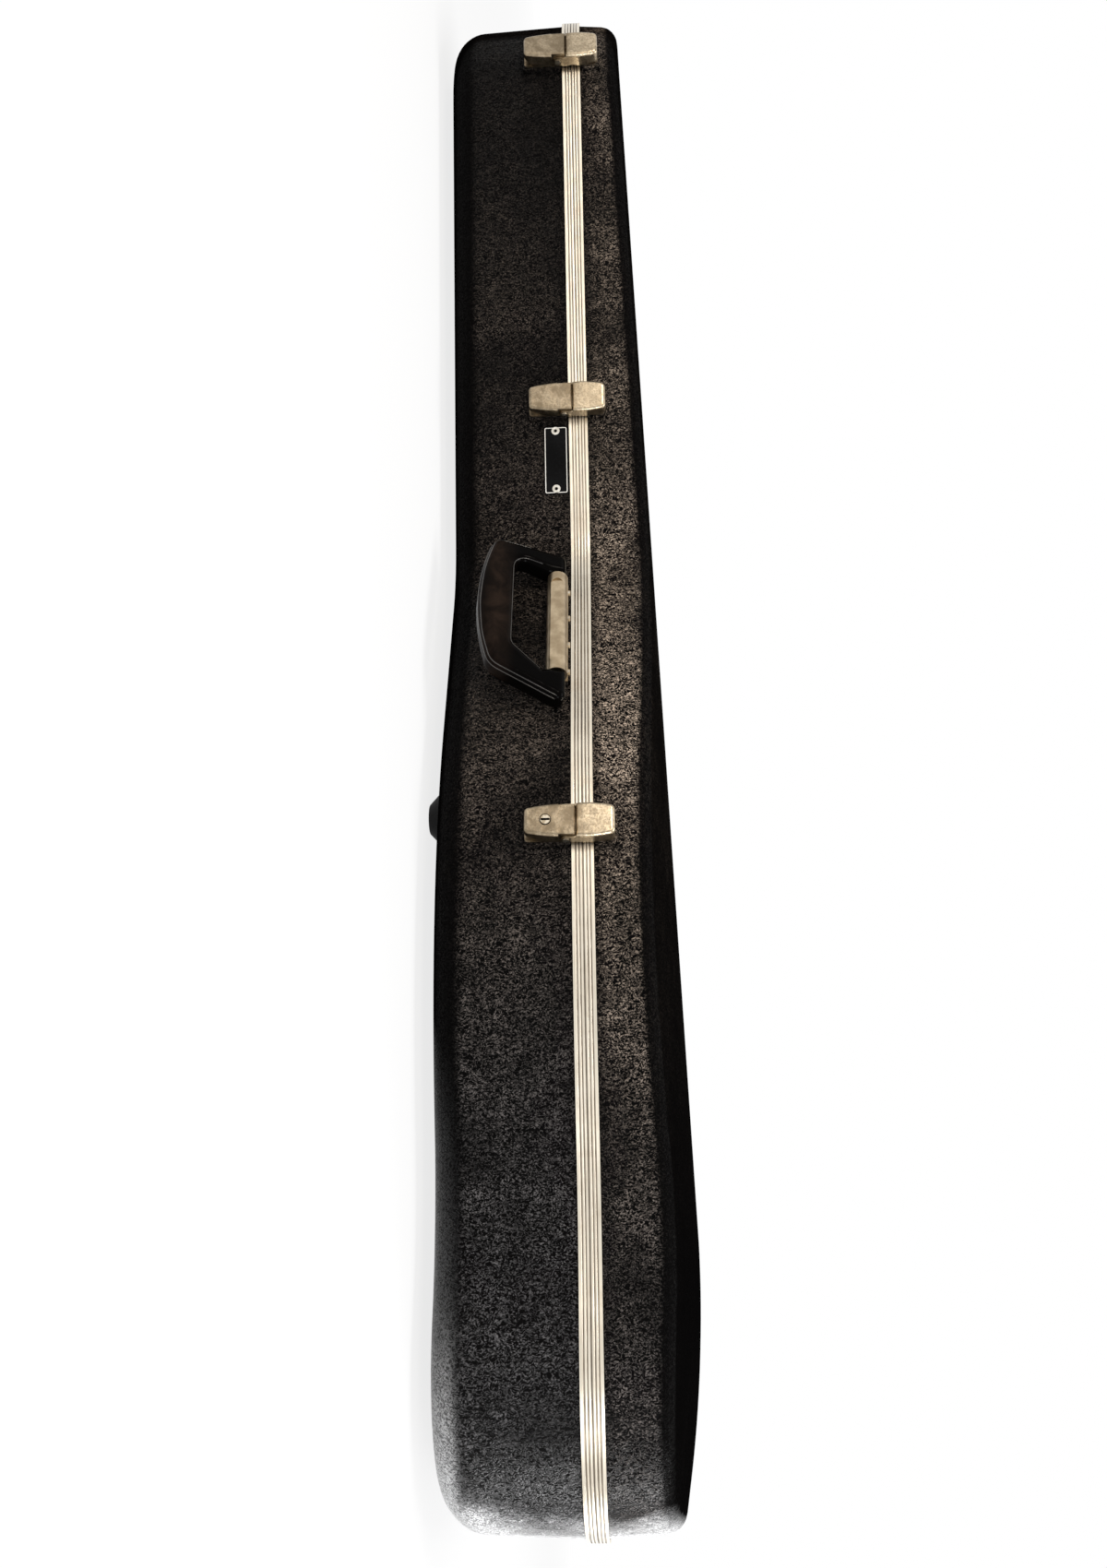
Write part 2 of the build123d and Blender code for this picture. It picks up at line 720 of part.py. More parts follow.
def cover(frame, front, front_half, end, end_half):
    """Solid cover of a catch between two places above the seam, with bowed sides and soft edges."""
    middle = (front + end) / 2
    bow = (front_half + end_half) / 2 + cover_bow
    along = Axis(frame.origin, frame.y_dir * (front - end))
    with BuildPart() as block:
        with BuildSketch(frame.offset(lever_underside)) as plan:
            with BuildLine():
                Line((-front_half, front), (front_half, front))
                ThreePointArc((front_half, front), (bow, middle), (end_half, end))
                Line((end_half, end), (-end_half, end))
                ThreePointArc((-end_half, end), (-bow, middle), (-front_half, front))
            make_face()
            corners = plan.vertices().sort_by(along)[:2]
            fillet(corners, cover_corner_radius)
        extrude(amount=catch_top - lever_underside)
        top = block.faces().sort_by(Axis(frame.origin, frame.z_dir))[-1].edges().sort_by(along)
        fillet(top[:-1], cover_rounding)
        back = front - copysign(split_chamfer, front - end)
        with BuildSketch(across(frame)):
            with BuildLine():
                Polyline((front, catch_top), (back, catch_top), (front, catch_top - split_chamfer), close=True)
            make_face()
        extrude(amount=catch_width, both=True, mode=Mode.SUBTRACT)
    return block.part


def hollow(frame, front, front_half, bend, end, end_half):
    """Room inside a cover, open below and in front: straight down to bend, then narrower to end."""
    with BuildPart() as room:
        with BuildSketch(frame):
            with BuildLine():
                Polyline(
                    (-front_half, bend),
                    (-front_half, front),
                    (front_half, front),
                    (front_half, bend),
                    (end_half, end),
                    (-end_half, end),
                    close=True,
                )
            make_face()
        extrude(amount=inner_face)
    return room.part


def pin_through(frame, place, radius, start, end):
    """Round bar along the wall at a place given as rise above the seam and height off the wall."""
    with BuildPart() as bar:
        with BuildSketch(across(frame).offset(start)):
            with Locations(place):
                Circle(radius)
        extrude(amount=end - start)
    return bar.part


# One catch is built flat at the origin, as if the wall were the ground, then set on each frame
bench = Plane.XY
profile = across(bench)
catch_plates = {}
levers = {}

for locked in (False, True):
    with BuildPart() as catch_plate:
        with BuildSketch(bench.offset(pad_proud)):
            with Locations((0, -(lever_end + split_gap) / 2)):
                RectangleRounded(2 * plate_half_width, lever_end - split_gap, pad_corner_radius)
        extrude(amount=plate_sheet)
        for start in (-plate_ear_half, plate_ear_half - ear_thickness):
            with BuildSketch(profile.offset(start)):
                with Locations((-lever_pivot_drop, (pad_proud + lever_pivot_height) / 2)):
                    Rectangle(2 * plate_ear_radius, lever_pivot_height - pad_proud)
                with Locations(lever_pivot):
                    Circle(plate_ear_radius)
            extrude(amount=ear_thickness)
        if locked:
            keeper_top = cam_height + lock_cam_thickness + keeper_gap + keeper_sheet
            with BuildSketch(bench.offset(pad_proud)):
                with Locations((keeper_reach - keeper_sheet / 2, -lock_drop)):
                    Rectangle(keeper_sheet, keeper_width)
            extrude(amount=keeper_top - pad_proud)
            with BuildSketch(bench.offset(keeper_top)):
                with Locations((keeper_reach - keeper_lip / 2, -lock_drop)):
                    Rectangle(keeper_lip, keeper_width)
            extrude(amount=-keeper_sheet)
        add(pin_through(bench, lever_pivot, pin_hole, -half, half), mode=Mode.SUBTRACT)
        add(posts(bench, plate_rivet_places, plate_hole, 0, plate_top), mode=Mode.SUBTRACT)
    catch_plates[locked] = catch_plate

    with BuildPart() as lever:
        add(cover(bench, -lever_split, half, -lever_end, lever_end_half_width))
        with BuildSketch(profile):
            with BuildLine():
                Polyline(
                    (-lever_end - 1, lever_thumb_height),
                    (-lever_end, lever_thumb_height),
                    (-lever_end + lever_thumb_length, lever_underside),
                    (-lever_end + lever_thumb_length, 0),
                    (-lever_end - 1, 0),
                    close=True,
                )
            make_face()
        extrude(amount=catch_width, both=True, mode=Mode.SUBTRACT)
        add(
            hollow(
                bench, 0, lever_room, -ear_notch, catch_sheet - lever_end, lever_end_half_width - catch_sheet
            ),
            mode=Mode.SUBTRACT,
        )
        for side in (-1, 1):
            with BuildSketch(bench):
                with Locations((side * (cheek_half + half + cover_bow) / 2, -ear_notch / 2)):
                    Rectangle(half + cover_bow - cheek_half, ear_notch)
            extrude(amount=catch_top, mode=Mode.SUBTRACT)
        add(pin_through(bench, lever_pivot, pin_hole, -half, half), mode=Mode.SUBTRACT)
        add(pin_through(bench, claw_pivot, pin_hole, -half, half), mode=Mode.SUBTRACT)
        if locked:
            add(posts(bench, [(0, -lock_drop)], lock_radius + pin_clearance, 0, catch_top), mode=Mode.SUBTRACT)
    levers[locked] = lever

with BuildPart() as lever_pin:
    add(pin_through(bench, lever_pivot, pivot_pin_radius, -cheek_half, cheek_half))

with BuildPart() as plate_rivets:
    add(
        rivets(
            bench,
            plate_rivet_places,
            plate_rivet_radius,
            plate_rivet_head_radius,
            plate_top,
            plate_rivet_head_height,
        )
    )

with BuildPart() as claw:
    add(cover(bench, claw_front, half, claw_length, claw_end_half_width))
    ear_low = lever_underside
    ear_high = claw_pivot_height + ear_radius
    for start in (-half, half - ear_thickness):
        with BuildSketch(profile.offset(start)):
            with Locations(claw_pivot):
                Circle(ear_radius)
            with Locations(((claw_front + 1 - claw_pivot_drop) / 2, (ear_low + ear_high) / 2)):
                Rectangle(claw_front + 1 + claw_pivot_drop, ear_high - ear_low)
        extrude(amount=ear_thickness)
    add(
        hollow(
            bench,
            claw_front,
            claw_room,
            0,
            claw_length - catch_sheet,
            claw_end_half_width - ear_thickness,
        ),
        mode=Mode.SUBTRACT,
    )
    add(pin_through(bench, claw_pivot, pin_hole, -half, half), mode=Mode.SUBTRACT)

with BuildPart() as claw_rivets:
    for side in (-1, 1):
        tail = side * (lever_room + ear_clearance)
        seat = side * half
        add(pin_through(bench, claw_pivot, pivot_pin_radius, tail, seat))
        add(pin_through(bench, claw_pivot, claw_rivet_head_radius, seat, seat + side * claw_rivet_head))

with BuildPart() as strike:
    strike_end = claw_length + strike_margin
    with BuildSketch(bench.offset(pad_proud)):
        with Locations((0, (strike_end + split_gap) / 2)):
            RectangleRounded(2 * plate_half_width, strike_end - split_gap, strike_corner_radius)
    extrude(amount=plate_sheet)
    lip_far = claw_length - catch_sheet - strike_clearance
    with BuildSketch(bench.offset(pad_proud)):
        with Locations((0, lip_far - strike_lip_thickness / 2)):
            Rectangle(2 * strike_lip_half_width, strike_lip_thickness)
    extrude(amount=plate_sheet + strike_lip_height)
    add(posts(bench, strike_rivet_places, plate_hole, 0, plate_top), mode=Mode.SUBTRACT)

with BuildPart() as strike_rivets:
    add(
        rivets(
            bench,
            strike_rivet_places,
            plate_rivet_radius,
            plate_rivet_head_radius,
            plate_top,
            plate_rivet_head_height,
        )
    )

for name, frame in catches.items():
    locked = name == "lower"
    keep(catch_plates[locked], f"{name}_catch_plate", frame)
    keep(levers[locked], f"{name}_lever", frame)
    keep(lever_pin, f"{name}_lever_pin", frame)
    keep(plate_rivets, f"{name}_plate_rivets", frame)
    keep(claw, f"{name}_claw", frame)
    keep(claw_rivets, f"{name}_claw_rivets", frame)
    keep(strike, f"{name}_strike", frame)
    keep(strike_rivets, f"{name}_strike_rivets", frame)

# Lock in the lower catch: a round plug with a keyway and a cam that turns under the keeper
with BuildPart() as lock_plug:
    add(posts(lower_catch_frame, [(0, -lock_drop)], lock_radius, cam_height, catch_top + lock_proud))
    with BuildSketch(lower_catch_frame.offset(cam_height)):
        with Locations((0, -lock_drop - lock_cam_length / 2)):
            Rectangle(lock_cam_width, lock_cam_length)
    extrude(amount=lock_cam_thickness)
    with BuildSketch(lower_catch_frame.offset(catch_top + lock_proud)):
        with Locations((0, -lock_drop)):
            SlotOverall(keyway_length, keyway_width, rotation=90)
    extrude(amount=-keyway_depth, mode=Mode.SUBTRACT)
keep(lock_plug, "lock_plug")

# Handle: a barrel bracket on the shoulder wall, and a moulded handle that turns in its ends
axle_height = pad_proud + barrel_radius
axle = (-handle_pivot_drop, axle_height)

with BuildPart() as handle_bracket:
    with BuildSketch(across(handle_frame).offset(-barrel_length / 2)):
        with Locations(axle):
            Circle(barrel_radius)
        with Locations((-handle_pivot_drop, pad_proud + plate_sheet / 2)):
            Rectangle(2 * barrel_foot_half, plate_sheet)
    extrude(amount=barrel_length)
    with BuildSketch(handle_frame.offset(axle_height + barrel_radius - barrel_facet_depth)):
        with Locations((0, -handle_pivot_drop)):
            SlotOverall(barrel_facet_length, barrel_radius * 1.2)
    extrude(amount=barrel_radius, mode=Mode.SUBTRACT)
    with BuildSketch(handle_frame.offset(pad_proud)):
        with Locations(*bracket_rivet_places):
            RectangleRounded(bracket_tab_width, bracket_tab_height, bracket_rivet_radius)
    extrude(amount=plate_sheet)
    with BuildSketch(across(handle_frame).offset(-barrel_length / 2)):
        with Locations(axle):
            Circle(barrel_bore_radius)
    extrude(amount=barrel_length, mode=Mode.SUBTRACT)
    add(
        posts(handle_frame, bracket_rivet_places, bracket_rivet_radius + pin_clearance, 0, plate_top),
        mode=Mode.SUBTRACT,
    )
keep(handle_bracket, "handle_bracket")

with BuildPart() as bracket_rivets:
    add(
        rivets(
            handle_frame,
            bracket_rivet_places,
            bracket_rivet_radius,
            bracket_rivet_head_radius,
            plate_top,
            bracket_rivet_head_height,
        )
    )
keep(bracket_rivets, "bracket_rivets")

rest = radians(handle_rest_angle)
axle_point = handle_frame.origin - handle_frame.y_dir * handle_pivot_drop + handle_frame.z_dir * axle_height
handle_plane = Plane(
    origin=axle_point,
    x_dir=handle_frame.x_dir,
    z_dir=handle_frame.z_dir * cos(rest) + handle_frame.y_dir * sin(rest),
)
arm_inside = barrel_length / 2 + handle_arm_gap

with BuildPart() as handle:
    with BuildSketch(handle_plane) as outer_form:
        with BuildLine():
            Line((handle_body_end, handle_heel), (-handle_head_end, handle_heel))
            Line((-handle_head_end, handle_heel), (-handle_head_corner, -handle_corner_drop))
            ThreePointArc(
                (-handle_head_corner, -handle_corner_drop),
                ((handle_body_corner - handle_head_corner) / 2, -handle_reach),
                (handle_body_corner, -handle_corner_drop),
            )
            Line((handle_body_corner, -handle_corner_drop), (handle_body_end, handle_heel))
        make_face()
        fillet(outer_form.vertices().sort_by(Axis.X)[0], handle_head_corner_radius)
        fillet(outer_form.vertices().sort_by(Axis.X)[-2], handle_body_corner_radius)
        fillet(outer_form.vertices().sort_by(Axis.Y)[-2:], handle_heel)
    extrude(amount=handle_thickness / 2, both=True)
    with BuildSketch(handle_plane) as opening:
        with BuildLine():
            Polyline(
                (arm_inside, handle_heel + 1),
                (-arm_inside, handle_heel + 1),
                (-arm_inside, -barrel_radius),
                (-handle_opening_head_end, -handle_opening_reach),
                (handle_opening_body_end, -handle_opening_reach),
                (handle_knee_run, -handle_knee_drop),
                (arm_inside, -barrel_radius),
                close=True,
            )
        make_face()
        fillet(opening.vertices().sort_by(Axis.Y)[:2], handle_inner_corner)
    extrude(amount=handle_thickness, both=True, mode=Mode.SUBTRACT)
    rounded = handle.edges().filter_by_position(
        Axis(axle_point, handle_plane.z_dir), handle_thickness / 2 - 0.1, handle_thickness / 2 + 0.1
    ) + handle.edges().filter_by_position(
        Axis(axle_point, handle_plane.z_dir), -handle_thickness / 2 - 0.1, -handle_thickness / 2 + 0.1
    )
    fillet(rounded, handle_rounding)
    for side in (-1, 1):
        start = side * (barrel_length / 2 - journal_length)
        end = side * (arm_inside + handle_heel)
        add(pin_through(handle_frame, axle, barrel_bore_radius - journal_clearance, start, end))
keep(handle, "handle")

# Label plate, bare, with a tubular rivet at each end
with BuildPart() as label_plate:
    with BuildSketch(label_plane):
        RectangleRounded(label_length, label_height, label_corner_radius)
    extrude(amount=label_thickness)
    add(
        posts(label_plane, label_rivet_places, label_rivet_radius + pin_clearance, 0, label_thickness),
        mode=Mode.SUBTRACT,
    )
keep(label_plate, "label_plate")

with BuildPart() as label_rivets:
    add(
        rivets(
            label_plane,
            label_rivet_places,
            label_rivet_radius,
            label_rivet_head_radius,
            label_thickness,
            label_rivet_head_height,
        )
    )
    add(
        posts(
            label_plane,
            label_rivet_places,
            label_rivet_bore_radius,
            -label_thickness,
            label_thickness + label_rivet_head_height,
        ),
        mode=Mode.SUBTRACT,
    )
keep(label_rivets, "label_rivets")

# Hinges: rolled leaves on the spine side, with a pin through the knuckles
knuckle = (0, knuckle_height)
middle_knuckle = hinge_width / 6
outer_spans = (
    (-hinge_width / 2, -middle_knuckle - knuckle_gap),
    (middle_knuckle + knuckle_gap, hinge_width / 2),
)
inner_spans = ((-middle_knuckle, middle_knuckle),)


def hinge_leaf(frame, side, spans, places):
    """Leaf below (side -1) or above (side 1) the seam, with knuckles over the given spans."""
    with BuildPart() as leaf:
        with BuildSketch(frame.offset(pad_proud)):
            with Locations((0, side * leaf_middle)):
                RectangleRounded(hinge_width, hinge_leaf_length - knuckle_cut, pad_corner_radius)
        extrude(amount=hinge_sheet)
        for start, end in spans:
            with BuildSketch(across(frame).offset(start)):
                with Locations((side * knuckle_cut, pad_proud + hinge_sheet / 2)):
                    Rectangle(2 * knuckle_cut, hinge_sheet)
                with Locations(knuckle):
                    Circle(knuckle_radius)
            extrude(amount=end - start)
        add(
            pin_through(frame, knuckle, hinge_pin_radius + pin_clearance, -hinge_width, hinge_width),
            mode=Mode.SUBTRACT,
        )
        add(
            posts(frame, places, leaf_rivet_radius + pin_clearance, 0, pad_proud + hinge_sheet),
            mode=Mode.SUBTRACT,
        )
    return leaf.part


for name, frame in hinges.items():
    with BuildPart() as base_leaf:
        add(hinge_leaf(frame, -1, outer_spans, base_leaf_places))
    keep(base_leaf, f"{name}_hinge_base_leaf")

    with BuildPart() as lid_leaf:
        add(hinge_leaf(frame, 1, inner_spans, lid_leaf_places))
    keep(lid_leaf, f"{name}_hinge_lid_leaf")

    with BuildPart() as hinge_pin:
        add(pin_through(frame, knuckle, hinge_pin_radius, -hinge_width / 2, hinge_width / 2))
    keep(hinge_pin, f"{name}_hinge_pin")

for side, places in (("base", base_leaf_places), ("lid", lid_leaf_places)):
    with BuildPart() as leaf_rivets:
        for frame in hinges.values():
            add(
                rivets(
                    frame,
                    places,
                    leaf_rivet_radius,
                    leaf_rivet_head_radius,
                    pad_proud + hinge_sheet,
                    leaf_rivet_head_height,
                )
            )
    keep(leaf_rivets, f"{side}_hinge_rivets")
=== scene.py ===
"""Semi-acoustic guitar case, closed and seen from its handle side. Lengths are in metres."""
import math

import bmesh
import bpy
from mathutils import Matrix, Vector, noise
from mathutils.bvhtree import BVHTree


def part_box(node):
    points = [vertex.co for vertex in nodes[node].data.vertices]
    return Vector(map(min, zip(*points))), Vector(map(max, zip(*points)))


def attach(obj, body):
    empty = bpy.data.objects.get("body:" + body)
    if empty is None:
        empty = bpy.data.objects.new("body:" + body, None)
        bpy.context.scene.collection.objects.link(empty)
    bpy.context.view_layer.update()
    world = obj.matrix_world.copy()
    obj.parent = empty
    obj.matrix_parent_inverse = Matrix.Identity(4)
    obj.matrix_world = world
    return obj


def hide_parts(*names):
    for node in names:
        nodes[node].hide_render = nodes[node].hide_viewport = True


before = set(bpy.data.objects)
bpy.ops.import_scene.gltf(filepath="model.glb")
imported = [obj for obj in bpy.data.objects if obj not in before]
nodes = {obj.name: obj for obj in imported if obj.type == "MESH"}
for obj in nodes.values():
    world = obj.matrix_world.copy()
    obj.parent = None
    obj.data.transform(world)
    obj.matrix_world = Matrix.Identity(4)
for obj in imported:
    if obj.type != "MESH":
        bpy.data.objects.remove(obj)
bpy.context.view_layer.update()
scene = bpy.context.scene

MM = 0.001
SEAM_Z = 0.100

# Camera: place, aim and lens of the photograph
CAMERA_PLACE = Vector((0.2199, -0.9985, 0.1200))
CAMERA_YAW = 0.1696
CAMERA_PITCH = -0.0455
CAMERA_ROLL = 0.0237
CAMERA_LENS = 30.936
SENSOR_WIDTH = 36
CLIP_NEAR = 0.01
CLIP_FAR = 50


def make_camera():
    """Camera with the head of the case up: image down is +X and image right is +Z."""
    ahead = Vector((
        -math.sin(CAMERA_YAW) * math.cos(CAMERA_PITCH),
        math.cos(CAMERA_YAW) * math.cos(CAMERA_PITCH),
        math.sin(CAMERA_PITCH),
    ))
    down = Vector((math.cos(CAMERA_YAW), math.sin(CAMERA_YAW), 0))
    right = down.cross(ahead).normalized()
    down = ahead.cross(right)
    right_rolled = right * math.cos(CAMERA_ROLL) + down * math.sin(CAMERA_ROLL)
    down_rolled = down * math.cos(CAMERA_ROLL) - right * math.sin(CAMERA_ROLL)
    data = bpy.data.cameras.new("camera")
    data.lens = CAMERA_LENS
    data.sensor_width = SENSOR_WIDTH
    data.clip_start = CLIP_NEAR
    data.clip_end = CLIP_FAR
    camera = bpy.data.objects.new("camera", data)
    turn = Matrix((right_rolled, -down_rolled, -ahead)).transposed()
    camera.matrix_world = Matrix.Translation(CAMERA_PLACE) @ turn.to_4x4()
    scene.collection.objects.link(camera)
    scene.camera = camera


make_camera()
scene.view_settings.view_transform = "Standard"


# Handle: its own directions, along and across its plane, and the middle of its axle
CENTRE_Y = -4.081 * MM
HANDLE_ALONG = Vector((0.86603, -0.5, 0))
HANDLE_OUT = Vector((-0.5, -0.86603, 0))
HANDLE_LEAN = math.radians(16)
HANDLE_NORMAL = HANDLE_OUT * math.cos(HANDLE_LEAN) + Vector((0, 0, 1)) * math.sin(HANDLE_LEAN)
HANDLE_ACROSS = HANDLE_NORMAL.cross(HANDLE_ALONG)
AXLE_BELOW_SEAM = 15.6 * MM
AXLE_FROM_WALL = 9.2 * MM
WALL_POINT = Vector((-33.411 * MM, -125.956 * MM + CENTRE_Y, SEAM_Z - AXLE_BELOW_SEAM))
HANDLE_AXLE = WALL_POINT + HANDLE_OUT * AXLE_FROM_WALL
GRIP_MIDDLE = 42 * MM

# Label and lock: the directions of their faces
LABEL_ALONG = Vector((0.99985, 0.01745, 0))
LABEL_OUT = Vector((0.01744, -0.99924, -0.0349))
LOCK_OUT = Vector((-0.28234, -0.95931, 0))
LOCK_RADIUS = 3.5 * MM
RIVET_BORE = 1.05 * MM
FACE_DEPTH = 0.05 * MM

# Leather: cells and folds per metre, depths of the bumps, and colours
PEBBLES = 760.0
FOLDS = 600.0
GRAIN_DEPTH = 0.5 * MM
WAVE_DEPTH = 3.0 * MM
LEATHER_BLACK = (0.0022, 0.0020, 0.0020)
# Grain-top colours are painted highlights, far lighter on the lid as painted light
BASE_GRAIN_HIGHLIGHT_HEAD = (0.128, 0.104, 0.086)
BASE_GRAIN_HIGHLIGHT_BODY = (0.104, 0.101, 0.104)
LID_GRAIN_HIGHLIGHT_HEAD = (0.560, 0.450, 0.356)
LID_GRAIN_HIGHLIGHT_BODY = (0.230, 0.204, 0.192)
# Painted highlight at the body end: its pale colour, its share and how ragged its edge is
PAINTED_HIGHLIGHT_COLOUR = (0.90, 0.90, 0.91)
PAINTED_HIGHLIGHT_SHARE = 0.92
HIGHLIGHT_EDGE_RAGGED = 0.055

# Band: distances of its grooves from the seam
SEAM_LINE = (0.2 * MM, 0.9 * MM)
GROOVES = (2.22 * MM, 4.22 * MM)
GROOVE_LINE = (0.22 * MM, 0.70 * MM)


# Materials
def set_range(node, low, high, out_low, out_high):
    """Limits of a Map Range node."""
    ends = {"From Min": low, "From Max": high, "To Min": out_low, "To Max": out_high}
    for key, number in ends.items():
        node.inputs[key].default_value = number


class Nodes:
    """Short hand for building one material's node tree."""

    def __init__(self, name):
        self.material = bpy.data.materials.new(name)
        self.material.use_nodes = True
        self.tree = self.material.node_tree
        self.shader = self.tree.nodes["Principled BSDF"]
        self.coordinates = self.add("ShaderNodeTexCoord")
        self.place = self.coordinates.outputs["Object"]

    def add(self, kind, **settings):
        node = self.tree.nodes.new(kind)
        for key, value in settings.items():
            setattr(node, key, value)
        return node

    def join(self, source, target):
        self.tree.links.new(source, target)

    def fill(self, socket, value):
        if isinstance(value, bpy.types.NodeSocket):
            self.join(value, socket)
        else:
            socket.default_value = value

    def stretched(self, scale, place=None):
        """Coordinates multiplied by scale, a vector."""
        node = self.add("ShaderNodeMapping")
        self.fill(node.inputs["Vector"], place or self.place)
        node.inputs["Scale"].default_value = scale
        return node.outputs["Vector"]

    def noise(self, scale, detail=4.0, rough=0.55, place=None, warp=0.0):
        node = self.add("ShaderNodeTexNoise")
        self.fill(node.inputs["Vector"], place or self.place)
        node.inputs["Scale"].default_value = scale
        node.inputs["Detail"].default_value = detail
        node.inputs["Roughness"].default_value = rough
        node.inputs["Distortion"].default_value = warp
        return node.outputs["Fac"]

    def cells(self, scale, feature="F1", place=None):
        node = self.add("ShaderNodeTexVoronoi", feature=feature)
        self.fill(node.inputs["Vector"], place or self.place)
        node.inputs["Scale"].default_value = scale
        return node.outputs["Distance"]

    def math(self, operation, a, b=0.0, c=0.0):
        node = self.add("ShaderNodeMath", operation=operation)
        for socket, value in zip(node.inputs, (a, b, c)):
            self.fill(socket, value)
        return node.outputs[0]

    def span(self, value, low, high, out_low=0.0, out_high=1.0):
        """value taken from low..high to out_low..out_high, smoothly, and held at the ends."""
        node = self.add("ShaderNodeMapRange", interpolation_type="SMOOTHSTEP")
        set_range(node, low, high, out_low, out_high)
        self.fill(node.inputs["Value"], value)
        return node.outputs["Result"]

    def mix(self, factor, a, b):
        """Colour between a and b."""
        node = self.add("ShaderNodeMix", data_type="RGBA")
        self.fill(node.inputs["Factor"], factor)
        for socket, value in ((node.inputs[6], a), (node.inputs[7], b)):
            self.fill(socket, (*value, 1.0) if isinstance(value, tuple) else value)
        return node.outputs[2]

    def times(self, a, b):
        return self.math("MULTIPLY", a, b)

    def axis(self, index, place=None):
        node = self.add("ShaderNodeSeparateXYZ")
        self.fill(node.inputs[0], place or self.place)
        return node.outputs[index]

    def dot(self, direction):
        """How far the coordinates reach along a direction."""
        node = self.add("ShaderNodeVectorMath", operation="DOT_PRODUCT")
        self.join(self.place, node.inputs[0])
        node.inputs[1].default_value = direction
        return node.outputs["Value"]

    def from_line(self, centre, out):
        """Distance of the coordinates from the line through centre along out."""
        away = self.add("ShaderNodeVectorMath", operation="SUBTRACT")
        self.join(self.place, away.inputs[0])
        away.inputs[1].default_value = centre
        turned = self.add("ShaderNodeVectorMath", operation="CROSS_PRODUCT")
        self.join(away.outputs[0], turned.inputs[0])
        turned.inputs[1].default_value = out
        size = self.add("ShaderNodeVectorMath", operation="LENGTH")
        self.join(turned.outputs[0], size.inputs[0])
        return size.outputs["Value"]

    def warped(self, scale, amount):
        """Coordinates moved about by a noise of that scale, by up to amount."""
        cloud = self.add("ShaderNodeTexNoise")
        self.fill(cloud.inputs["Vector"], self.place)
        cloud.inputs["Scale"].default_value = scale
        cloud.inputs["Detail"].default_value = 2.0
        move = self.add("ShaderNodeVectorMath", operation="MULTIPLY_ADD")
        self.join(cloud.outputs["Color"], move.inputs[0])
        move.inputs[1].default_value = (amount, amount, amount)
        self.join(self.place, move.inputs[2])
        return move.outputs[0]

    def bump(self, height, distance, strength=1.0, under=None):
        node = self.add("ShaderNodeBump")
        node.inputs["Strength"].default_value = strength
        node.inputs["Distance"].default_value = distance
        self.fill(node.inputs["Height"], height)
        if under is not None:
            self.join(under, node.inputs["Normal"])
        return node.outputs["Normal"]

    def finish(self, colour, rough, metal=0.0, normal=None, **values):
        self.fill(self.shader.inputs["Base Color"], (*colour, 1.0) if isinstance(colour, tuple) else colour)
        self.fill(self.shader.inputs["Roughness"], rough)
        self.shader.inputs["Metallic"].default_value = metal
        if normal is not None:
            self.join(normal, self.shader.inputs["Normal"])
        for key, value in values.items():
            self.shader.inputs[key.replace("_", " ")].default_value = value
        return self.material


